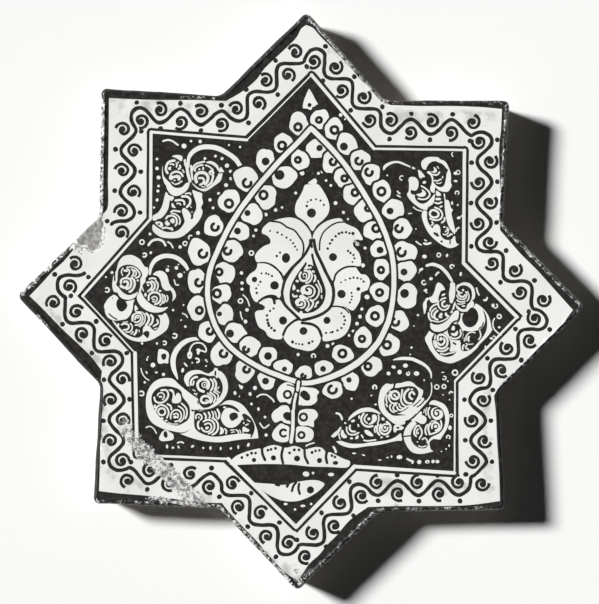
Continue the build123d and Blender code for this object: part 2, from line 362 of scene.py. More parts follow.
middleLeftPalmette = {
    "tendril": [
        (line, 4.4, (149.8, 274, 2), (150.5, 269, 3), (152.3, 264, 3.8), 155.8, 259.6, 160.5, 257,
         167, 255.8, 174, 256.8, 180, 260, (185, 264.8, 4), (188, 270, 3)),
    ],
    "left lobe": [
        (patch, 112.2, 284, 112.8, 289, 114.3, 291.9, 117.3, 292.6, 118.3, 294.3, 120, 296.8, 123, 298.8,
         127, 299.7, 130.5, 299.4, 134, 298, 136.2, 295.8, 137.8, 292.6, 138.5, 290.8, 140.5, 292,
         142.2, 287, 143, 284.5, 145.3, 281.5, 145.6, 278, 147.5, 275.3, 148.4, 271, 147.3, 267,
         145.5, 267.2, 142.5, 263.5, 140.5, 260, 137, 257.3, 132.5, 255.2, 128, 255, 123.5, 256.3,
         120, 259.8, 117.8, 264.5, 116.5, 270, 113.4, 276, 112.8, 280),
        (inkLine, 1.5, 114.7, 267, 114.7, 280.5),
        (inkPatch, 118.3, 270, 120.5, 267, 124, 265.3, 128, 264.6, 132, 265, 136, 266.6, 139.5, 269.5,
         141.8, 273, 142, 276, 140.3, 279, 140.3, 284, 139.6, 289, 137.5, 291.8, 134, 293.6, 130, 295,
         126.5, 294.6, 122.5, 292, 119, 288, 116.2, 284.5, 117.3, 281, 117.6, 275),
        (line, 1.2, 122.5, 275, 121.3, 272.5, 121.8, 270, 123, 268.3), (line, 2.2, 124.5, 270.5, 127, 271),
        (line, 1.6, 127, 268.5, 129, 270, 129.5, 272.5, 128.5, 275, 126.8, 276.5),
        (line, 1.6, 131.5, 269, 133.3, 271, 133.5, 274, 132, 276.5),
        (line, 1.5, 134, 269.8, 136, 272, 136, 274.8, 134.5, 276.5),
        (line, 1.6, 136.5, 269.5, 138.8, 272, 139.8, 274.5, 138.8, 276.8, 136, 278),
        (line, 1.2, 127, 267, 131, 266.8, 135, 268, 138, 270.5), (dots, (137.8, 280.5, 1.1)),
        (line, 2.2, 131.5, 278, 134, 280, 134.7, 284, 133.5, 288, 131, 291, 129.5, 291.5),
        (line, 2.1, 121, 283.5, 121, 280.5, 123, 278.5, 126.5, 278, 129.5, 279, 131.2, 282, 130.8, 285.5,
         129, 288, 126.5, 289),
        (line, 2.3, 124, 281.8, 126.5, 281.3, 128, 283.5, 127.3, 286, 124.8, 287.8, (121, 286.2, 3)),
    ],
    "right lobe": [
        (patch, 153, 274.5, 155.5, 272, 158.5, 270.8, 162, 271, 165, 272.8, 167, 275.5, 168, 279, 169, 283,
         171, 286.5, 173.5, 289, 175.2, 292, 176, 295.5, 175, 298.5, 172.3, 301.3, 172.8, 298, 172.5, 294.5,
         171.3, 291.5, 170.3, 290.3, 166.5, 290.8, 163.5, 289, 161.7, 286, 161, 282.5, 160, 279.5,
         158.5, 277, 156, 275.5),
        (patch, 141, 292, 144, 297.5, 148, 301.8, 152.5, 305, 157, 306.8, 162, 307.7, 167.8, 307,
         165.5, 309.8, 161.5, 311.8, 156, 312.6, 150, 311.8, 145, 309.5, 140.8, 306, 138, 302, 136.9, 298.5,
         137.3, 295, 139.3, 292), (line, 1.7, 149.5, 279, 152, 278, 155.5, 278.8),
        (line, 1.6, 155.5, 280.5, 157.8, 283.5, 158, 287, 156.5, 290.3),
        (line, 1.9, 151.5, 281, 154.3, 283, 155, 286, 153.5, 289.3, 151.5, 290.8),
        (line, 1.8, 147, 282.8, 149, 282, 151, 283.3, 152, 285.8, 151, 288.5, 149, 290.5, 148.3, 291.5),
        (dots, (148, 285.3, 1.1), (145.6, 294.6, 1.2, 2)), (line, 1, 142.5, 287.5, 143.5, 291),
        (line, 1.9, 148.6, 300, 148.8, 296, 151.5, 293, 155.5, 292.3, 159, 294, 160.5, 297, 160.2, 300.5,
         158, 303.3, 155, 304.3),
        (line, 1.3, 151.6, 298, 154.5, 296.4, 157, 298, 157, 300.5, 154.8, 302, 152.5, 301.6),
        (dots, (153.6, 299.6, 1.7, 0.8), (160, 291, 1.5, 1)),
        (line, 1.3, 162, 294, 163, 297, 162.6, 300.5, 161.5, 303.5, 159.8, 305.3),
        (line, 1.6, 164, 295.3, 165.3, 298, 164.8, 301, 163.2, 303),
        (line, 1.2, 166.8, 295.5, 168, 298, 167.3, 300.5, 166.3, 301.5),
    ],
    "crescent": [
        (patch, 114.2, 294.8, 118.3, 298, 117, 300.5, 116.2, 304, 117, 307.5, 118.7, 310.3, 121.3, 311.6,
         124.3, 310.5, 126.6, 308, 127.4, 305.5, 126.6, 302.8, 125.8, 301.5, 130, 300.6, 134.4, 299.6,
         133.3, 303, 132.8, 308, 131.5, 312.5, 129, 316.5, 126, 319, 121.5, 320, 115.5, 320.6, 111, 319.5,
         107.5, 317, 105.2, 313, 104.7, 309, 104, 306, 105.5, 302.5, 108, 298.8, 111, 296.3),
        (inkLine, 1.4, 109, 314, 112.5, 317, 117, 319.5), (inkDots, (112.5, 298, 0.6)),
    ],
    "leaf": [
        (patch, 158, 315.3, 162, 315, 164.8, 313, 166.2, 313.8, 168, 317, 169.1, 321, 168.5, 325.5,
         166.8, 329.5, 163, 333, 158, 336.3, 152.5, 339.4, 146.5, 341.3, 140.5, 341.8, 134.5, 341, 129, 339,
         124, 335.5, 120, 331.3, 116, 326.3, 112.3, 321, 113.8, 321.2, 118.5, 326.5, 123, 331.3,
         127.5, 334.8, 133, 337.2, 137.8, 337.8, 141.5, 336, 143, 333.5, 142.8, 329.5, 144.2, 326.3,
         147, 325.4, 149.8, 326.4, 151.5, 328.6, 154, 330.6, 156.5, 330, 158.8, 327, 160, 323, 160, 319.5,
         159.2, 317),
        (inkPatch, 144.8, 331.5, 147, 330.8, 149.2, 332, 149.3, 335, 148.2, 337.5, 147, 338, 145, 336,
         143, 333.8), (patch, 134.8, 311.3, 134.6, 307, 135.5, 305, 138, 309, 136.5, 310),
        (line, 1.2, 136, 311.6, 139, 311.8, 142.5, 312.5),
        (line, 1.6, (132.6, 320.5, 2.2), (132.8, 316.5, 2.4), 135, 313.8, 138.5, 313, 141.5, 314.5,
         142.8, 318, 141.8, 321.8, 139, 324.5, 135.5, 325),
        (line, 1.5, 135.3, 319.5, 135.5, 316.6, 138.5, 315.4, 140.5, 317.8, 139.8, 320.5, 137, 322.2,
         134.5, 321.8), (dots, (137.6, 317.6, 1.4, 0.8)),
        (line, 1.3, 143.6, 313.2, 145.2, 316, 145, 320.5, 142.8, 324, 139.5, 326.6),
        (line, 2.1, 146.3, 313.5, 148.5, 316, 149, 319.5, 147.5, 323, 146, 324.6),
        (line, 2.1, 151, 315, 152.8, 317.5, 152.5, 321.5, 151, 324, 149.8, 324.8),
        (line, 1.6, 157, 320, 158, 322.5, 156.5, 324.5, 153.5, 326.3), (line, 1, 154.5, 329, 157, 328),
        (line, 1.7, 121.5, 324.6, 125, 323.8, 128.3, 325, 128.8, 327.5, 127, 329.5, 123.5, 330),
        (dots, (118.2, 324.8, 1, 1.6)),
        (line, 1.4, 130.3, 323.5, 132.3, 326, 131.8, 329.5, 129, 332, 126, 331.8),
        (line, 2, 136.5, 330, 135.8, 332.5, 134, 334.5), (line, 1.3, 133, 331.5, 131, 334),
        (line, 0.9, 139, 330, 139.2, 332), (line, 1, 123, 322.3, 127.5, 321.8),
    ],
}
lowerLeftPalmette = {
    "tendril": [
        (line, 5.2, (177.5, 379, 1.2), (175.5, 373.5, 3.4), (173.5, 367, 4.8), 173, 361, 174.3, 354.5,
         177.5, 348.8, (182.5, 343.5, 4.8), (188, 340.3, 4.2), (194, 338.8, 3.4), (199.5, 339, 2.6)),
        (line, 1.5, 189.5, 352, 190.5, 348, 193, 344.3, 197, 342.8, 202, 343.5, 205, 346.5, 206.3, 350,
         205.3, 352, 202.5, 351, 200, 350), (dots, (189.7, 355, 2.5, 4)), (inkDots, (189.7, 355.3, 0.7)),
        (patch, 196, 349.5, 199, 348.5, 200.5, 350.5, 199.5, 353, 198.5, 354.8, 196.8, 353.5, 197, 351.5),
        (line, 1.8, 196, 358.5, 198.5, 359, 199, 361.5, 197, 362.3), (line, 1.6, 184.5, 363.3, 187, 366),
        (dots, (182.7, 370.3, 1.4, 2.4, 15), (206, 360, 0.9), (207, 361.5, 0.8), (206, 366, 0.9),
         (192.3, 362.8, 0.8)),
    ],
    "left lobe": [
        (patch, 174.5, 380, 178.5, 384, 183, 387.8, 188, 391.8, 193, 395.6, 197, 399, 197.3, 402.5,
         199.5, 406.5, 199.3, 409.3, 195, 409.8, 190.7, 409.6, 193, 412.5, 194, 417, 193.5, 423,
         191.5, 427.5, 188, 430.5, 183, 432.3, 178, 432.2, 172, 431, 165, 429.5, 158, 426.5, 152.5, 423,
         148.5, 417.5, 146.3, 410, 145.8, 402, 146.8, 394, 149.5, 387.5, 154, 382, 160, 378.8, 166, 378,
         171, 378.3),
        (inkPatch, 168, 386.2, 174, 387.3, 179, 389.3, 181.5, 392, 182.3, 396, 184.5, 399.5, 187.5, 403,
         189.5, 407, 190, 412, 189.5, 417, 187, 420.8, 183, 423.3, 178, 425.5, 172, 425, 166, 422.5,
         160.5, 418, 156.5, 413, 153.5, 407.5, 151.5, 401, 151.8, 395.5, 154.5, 390.8, 159, 387.5,
         163.5, 386.3),
        (line, 1.8, 154.3, 397.5, 155.2, 401, 158.5, 402.8, 163, 402.2, 166.8, 399, 168.3, 395.2,
         167.5, 391.8, 165, 390, 161, 390.4),
        (line, 1.3, 157.3, 395.5, 158.6, 393.4, 161.5, 392.8, 164, 394.6, 164.2, 397.4, 162.5, 399.6),
        (dots, (160.4, 396.8, 2, 0.9), (155, 406.6, 1.3, 1.9)),
        (patch, 168.5, 389.8, 171, 389.3, 173.5, 390.5, 174.5, 394, 175.5, 396.3, 176.3, 394, 178, 392.8,
         180, 394.3, 181, 397.5, 181, 400.5, 179.5, 402.5, 176.5, 403.3, 173, 403, 171.8, 401, 172.5, 397.5,
         172.8, 394, 171.5, 392), (ring, pale, 161.7, 411.8, 3.5, 1.8),
        (line, 1.7, 155.8, 411, 157.3, 407, 161, 405, 165.2, 406.4, 168.2, 410, 168.5, 414, 166.8, 417.6),
        (line, 1.9, 167.5, 404, 170.5, 406, 171.5, 409.3),
        (dots, (162, 418.4, 1.6, 1.2), (166, 420.5, 1.6, 0.8)),
        (line, 1.5, 170.8, 418.5, 170.7, 415, 172.5, 411.5, 176, 409.8, 179.5, 411, 181.2, 414.5,
         180.8, 418, 178.5, 420.8, 175, 421.5),
        (line, 1.5, 173.5, 414.6, 176, 413.4, 178.2, 415.2, 177.5, 417.8), (dots, (175, 417, 1.8, 1.4)),
        (line, 1.4, 178.5, 406.3, 182, 408.3, 184, 411.3, 184.3, 415, 183, 419, 180, 422),
        (line, 1.6, 181.5, 403.5, 185, 406.5, 186.8, 410.5, 186.8, 415, 185.3, 418.5),
        (line, 1, 168, 422.5, 172, 424, 178, 424),
    ],
    "right lobe": [
        (patch, 184.3, 381, 184.3, 377, 186.5, 373.5, 190.5, 371, 196, 370, 200.5, 370.5, 204.5, 372.5,
         208.5, 373.5, 211, 372, 213.5, 370.3, (215, 366, 1), (217, 366, 1), 218, 370.3, 221, 371.5,
         224.5, 375, 227, 380, 228, 386, 227.3, 392, 225, 397, 221, 402, 216, 405.8, 210.5, 408.5,
         205, 409.3, 199.5, 409, 198.5, 402, 196, 398, 190, 391, 187, 386),
        (inkLine, 1.8, 215.3, 371.5, 215.3, 375),
        (inkPatch, 189, 385.5, 188.8, 381, 190.3, 377.5, 193.5, 374.8, 198, 373.8, 202.5, 374, 206.5, 375.2,
         210, 376, 213, 375.7, 215.5, 376.5, 216.3, 378.2, 218.5, 377.3, 221, 380.5, 222.5, 385, 222.7, 390,
         221, 395, 217.5, 400, 213, 404.2, 208, 407.3, 203.5, 407.8, 200.5, 405.5, 198.8, 402.5, 198, 399,
         196.5, 395.5, 192.5, 392, 190, 389), (inkLine, 1.4, 184, 385.5, 190, 390.5, 197, 397.5),
        (inkLine, 1.4, 188, 387, 193, 391, 198, 396),
        (line, 2.1, 190.8, 385, 190.8, 382, 192.5, 378.8, 195.5, 377, 197, 377.2),
        (line, 1.6, 194, 381.5, 193, 385),
        (line, 2.6, 203.5, 391.6, 199.5, 389.8, 197.6, 386, 198.4, 382, 201.5, 379.5, 205, 379.4,
         208.3, 381.5, 209, 385, 207.5, 388.3), (ring, pale, 204.6, 384.8, 2.5, 1.1),
        (dots, (204.7, 384.8, 0.8)), (line, 1.8, 210.5, 379, 213, 382, 213, 386.5, 210.8, 390.5),
        (line, 1.8, 213.8, 379, 216, 382.5, 216, 387, 214.5, 389.5),
        (line, 1, 215, 391, 217, 389, 219, 387),
        (line, 2.3, 201, 399.5, 202.5, 396.8, 206.5, 396, 209.8, 398, 209.6, 401, 206.5, 402.8, 203, 402.8,
         201.3, 401), (dots, (206.6, 400.3, 1.4, 0.7)),
        (line, 1.4, 207.5, 393.5, 211.5, 396, 212.3, 399.5, 210.5, 403),
        (line, 1.6, 210, 392.3, 214, 395, 215.3, 398.5, 213.5, 402.5),
        (line, 1.4, 213.5, 391.5, 217, 393.5, 218.3, 396.5, 217, 400),
        (line, 1.2, 216.5, 390.5, 219.5, 392.5), (line, 1, 193, 389.8, 195, 391),
        (dots, (194.8, 393.6, 0.8), (196.6, 393.8, 0.8)),
    ],
    "leaf": [
        (patch, 221, 404.5, 225, 401.5, 230, 400.2, 236, 401.5, 241, 403.8, 245, 407.5, 249, 413,
         252.5, 418.5, 255.5, 425, 257.5, 431, (258.3, 438.3, 1), 251, 438.8, 243, 439.3, 234, 440.5,
         226, 441.8, 217, 442.3, 207, 441.5, 198, 439.8, 189.5, 437.3, (180, 433.8, 1), 184, 433, 188, 431,
         191.5, 427.5, 194, 422, 194.3, 416, 193, 411.5, 200, 410.5, 208, 410.5, 215, 408),
        (inkPatch, 194.7, 411, 201, 411, 208, 410.2, 214.5, 408, 220, 405.5, 225, 404.4, 231, 405,
         236, 407.5, 239.5, 411.3, 238, 412, 235, 410, 230, 408, 226, 408.3, 223.5, 410.8, 221.5, 415,
         221, 419, 223, 423.5, 227, 427, 232, 427.8, 236.5, 426, 240, 422.8, 242, 419.5, 243.5, 420.5,
         243, 417.3, 242, 415.3, 243.5, 413.5, 247, 414.8, 251, 418.3, 253.8, 423, 254.8, 428, 253.5, 433.5,
         251.3, 437.8, 250.3, 437, 251, 434.8, 248, 434, 243, 433.5, 236, 434, 229, 435, 221, 436.3,
         214, 436.7, 208, 435.8, 202.5, 434, 198, 431.5, 195, 428, 194.2, 424, 194.5, 417),
        (dots, (224.5, 407.4, 1.6, 0.9)),
        (inkPatch, 229.3, 417, 230, 414, 233, 412.6, 236.5, 413, 238, 415.5, 237.3, 418.3, 235, 419.5,
         233, 420.8, 231, 420.3),
        (patch, 242.5, 427.5, 245, 427, 247, 428.5, 249.5, 430, 247.5, 432, 244.5, 431.5, 243, 433),
        (dots, (243.8, 423, 0.9)), (line, 1.1, 247.5, 420, 250, 421.6), (line, 1.3, 245.5, 425, 248.3, 424),
        (patch, 220, 427, 222.5, 428, 224, 430.5, 222.8, 433.5, 219.5, 434.3, 220.5, 431),
        (line, 1.6, 224.8, 428.8, 226.5, 431, 226, 433.8), (line, 1.2, 231, 430.3, 234, 429.8),
        (line, 1, 231.5, 432.5, 234.5, 432), (line, 1.4, 236, 429.8, 238, 431, 238.8, 433),
        (line, 1.1, 239.8, 429.8, 241, 432.5),
        (line, 1.8, 212.5, 418.3, 216, 420.5, 218, 424.5, 217.8, 429.5, 215.5, 433, 212.5, 434.8),
        (line, 1.7, 203.5, 421.5, 207, 419.8, 211.5, 420.8, 214.3, 424, 214.3, 428.5, 212, 432,
         208.5, 433.6),
        (line, 1.6, 205, 424.6, 208.3, 423.2, 211, 424.8, 211.4, 428, 209.6, 430.8, 206.5, 431.8,
         203, 430.5, 201.5, 428), (dots, (207, 428, 2, 1.3, -25)),
        (line, 2, 198.8, 421.4, 197.8, 424, 198.3, 427.5, 199.3, 429),
        (line, 1.5, 196, 418.5, 196, 415.5, 198.5, 414, 201.3, 415.3, 201.8, 418, 200.3, 419.8),
        (dots, (198.8, 417.3, 0.9)), (line, 1.8, 204.3, 413.3, 206, 416, 205.5, 418.5),
        (line, 1.8, 208.5, 412.5, 210, 415.5, 209.5, 418),
        (line, 1.5, 212, 411.5, 213.3, 414.5, 213.3, 418),
        (line, 1.3, 214.7, 411.5, 216.2, 415, 216.4, 418),
        (line, 1.9, 217.2, 409.5, 219.2, 413, 219.2, 416.6, 218, 418.6),
    ],
    "beads": [
        (patch, 158.5, 350, 161, 349, 165, 350, 168.3, 352.5, 169, 356, 168.3, 360, 168, 363.3, 164, 363,
         159.5, 363.8, 157.5, 361, 157.8, 355),
        (inkPatch, 161.5, 354.5, 165, 353.5, 166.5, 356, 165, 359.5, 162.5, 359.5, 161.3, 357),
        (patch, 159, 438.5, 160.5, 434.5, 162.5, 431.5, 166, 430, 170, 432.3, 172.8, 434, 173.8, 437.5,
         172, 440, 166.5, 441, 161.5, 441),
        (inkPatch, 163.5, 433, 165.5, 431, 167.3, 433, 167.5, 436.5, 166, 438, 164, 436.3),
    ],
}
upperRightPalmette = {
    "tendril": [
        (line, 2, (383.7, 169.3, 1.6), (385, 166.5, 3), (389, 163.8, 2.6), 394, 162.2, 399, 162.2,
         404, 163.9, (409.8, 166.6, 1.5)), (dots, (413.5, 168, 2, 1, 20)),
        (patch, 418, 170, 420, 170.5, 422.5, 173, 425, 176.7, 422.5, 177.3, 420.5, 178.5, 419, 176.5,
         418.5, 173.5), (dots, (387.2, 175.5, 0.9)), (arc, pale, 402, 178, 2.2, 90, 300, 1.1),
        (line, 1.5, 397.3, 191.3, 399.7, 193.7), (line, 1.3, 397, 195, 400.3, 197),
    ],
    "left lobe": [
        (patch, 408.5, 180, 409.5, 177.5, 412, 176.8, 415, 177.2, 417.5, 179.5, 418.6, 183, 418, 187.5,
         416, 190.3, 413.5, 190.5, 411, 189.9, 410.8, 192.5, 412.2, 194.5, 414.7, 194.8, 415, 198,
         416.5, 200.5, 419.5, 203, 423, 203.7, 426.5, 202.5, 429.5, 200, 432, 197, (435.3, 193, 1),
         434.8, 197, 434.2, 200.5, 432.8, 204, 430, 206, 428, 207.3, 427, 209.7, 424, 209.7, 420.5, 208.3,
         417, 206, 413.5, 203.3, 410.5, 200.3, 408, 197, 407, 194.2, 408.7, 191, 409, 187, 409, 183),
        (patch, 421.7, 189.2, 424.5, 191, 426, 193.5, 424.8, 195.9, 421.5, 196.8, 418.5, 196.2,
         (416, 194.5, 1), 418.5, 193.7, 421, 193, 422.3, 191.5),
        (line, 1.6, 421.5, 186, 425.5, 188.3, 428.5, 191, 429.8, 194, 428.5, 197, 425.5, 199, 421.5, 199.3,
         418.3, 198.5), (dots, (424.3, 182.3, 1.8, 1.3, -20)),
        (line, 1.2, 413.5, 207, 417, 209.8, 421.5, 211),
    ],
    "right lobe": [
        (patch, 424.6, 169.6, 422.3, 168, 421.2, 164.5, 421.6, 161.5, 423.5, 159.4, 426.5, 157.5,
         430, 156.8, 434, 156.9, 438, 157.3, 440.5, 159.4, 443.5, 160.4, 446.3, 162.8, 448, 166,
         449.5, 169.5, 450.8, 173.5, 451, 178.5, 450.8, 182.5, 451.8, 185.5, 450, 189, 448, 191.5,
         445, 191.9, 441.5, 191.3, 438.5, 190, 435.2, 187.4, 434.8, 190, 434.4, 192.4, 432.5, 192.5,
         430.5, 190.5, 430.3, 187.5, 431.5, 184, 432, 180.5, 431.3, 177.5, 430.2, 175, 427.8, 173.5,
         426.8, 172, 428.5, 171, 426.3, 169.4),
        (inkPatch, 426.3, 169.4, 427.2, 166.3, 429.7, 163, 433, 161.3, 436, 161.2, 438.5, 162.4,
         441.5, 163.4, 444.3, 165.8, 446.5, 168.4, 448.2, 170, 447.2, 172, 446.4, 175, 446, 178.5,
         445.3, 182, 444, 185.5, 441.5, 187.1, 438.5, 186.8, 436, 185.3, 434, 183, 433.2, 180.5,
         433.3, 177.5, 432, 174, 430.3, 171.7, 428.5, 171),
        (patch, 433.5, 167, 435.5, 168, 436.8, 170, 436.5, 172, 434.5, 172.8, 432.8, 172.5, (431, 171.3, 1),
         433.3, 171.1, 434.3, 169.8), (line, 1, 437.3, 166.5, 438.6, 168.3),
        (line, 1.6, 439.5, 172.3, 438, 174.4, 435.5, 175.2, 433, 174.3), (dots, (442.5, 177, 0.7, 1.2)),
        (line, 1.4, 434, 180.3, 437, 180.8, 441, 179.2), (line, 1, 436.5, 183, 439.3, 183.4, 441.3, 182.4),
    ],
    "ladder": [
        (patch, 436, 191, 437.5, 191, 440.5, 193.5, 440.8, 195.5, 437.5, 196, 436.3, 195),
        (line, 2.3, 436.6, 199, 439.8, 199), (line, 1.7, 435, 202.6, 438, 203.5, 441.5, 202),
        (dots, (441, 206.6, 1.6, 1, -20)),
        (patch, 443.6, 194, 445, 194.2, 445.2, 197.5, 446, 200, 448, 200, 449.5, 202.5, 450.5, 206.5,
         451.5, 208.5, 453, 210, 451.5, 213, 452, 216.5, 453, 220.5, 454, 225, 455, 229.5, 455.2, 233,
         454.5, 234, 452.5, 232, 450, 228.5, 448, 224.5, 446.5, 219.5, 445.3, 213, 444.7, 206, 444.5, 200),
    ],
    "leaf": [
        (patch, 422.3, 211.8, 424, 210.5, 426.7, 211, 427, 214, 427, 218, 428, 222, 430, 225.5,
         432.5, 228.3, 433.5, 226, 436, 224.3, 438.5, 225, 440, 227.5, 440.5, 231, 440.3, 233.5,
         441.5, 236.5, 444, 239, 447, 240, 450, 239.8, 452.5, 238.3, 453.8, 236.2, 455.2, 236.5, 455.5, 240,
         457, 243.7, (459.5, 243.5, 1), 457, 245.8, 453, 247.6, 449, 248, 444.5, 246.3, 441, 244.3,
         437.5, 241.8, 433, 238, 429, 233.5, 425.7, 228, 423.2, 222, 421.8, 217),
        (inkPatch, 433.3, 233.5, 434.5, 232, 436.5, 233, 437.7, 232.3, 438, 234.3, 439.3, 235.5, 438, 236.8,
         435.5, 235.5), (inkDots, (441.6, 241.6, 1.2)), (inkLine, 1.3, 450.2, 239, 450.2, 243.8),
        (line, 2.1, 429.8, 213, 431.5, 210.6, 434.5, 210.2, 437.5, 211.8, 438.6, 214.5, 437.3, 216.9,
         434, 217.6, 431, 216.4, 429.8, 214.2),
        (line, 1.6, 435, 207.6, 438.7, 209, 441.5, 212, 442.4, 215.5, 440.8, 218.7, 437.5, 220.3,
         433.5, 220, 430, 218.6), (line, 1.8, 444.8, 217.8, 444.4, 220.6, 441.8, 222.6),
        (line, 1.5, 432, 222, 433.2, 223.6, 431.5, 225.2),
        (line, 1.3, 443.2, 234, 445.5, 234.8, 447.8, 233.2, 448.2, 231, 446.5, 229.5),
        (dots, (445.8, 231.4, 0.9), (444.3, 227, 1.2, 0.9)), (line, 1.2, 447, 227.5, 449, 229.8),
        (line, 1.5, 447.5, 236.3, 450, 235, 450.6, 233.8), (dots, (452, 234.4, 0.8)),
    ],
}
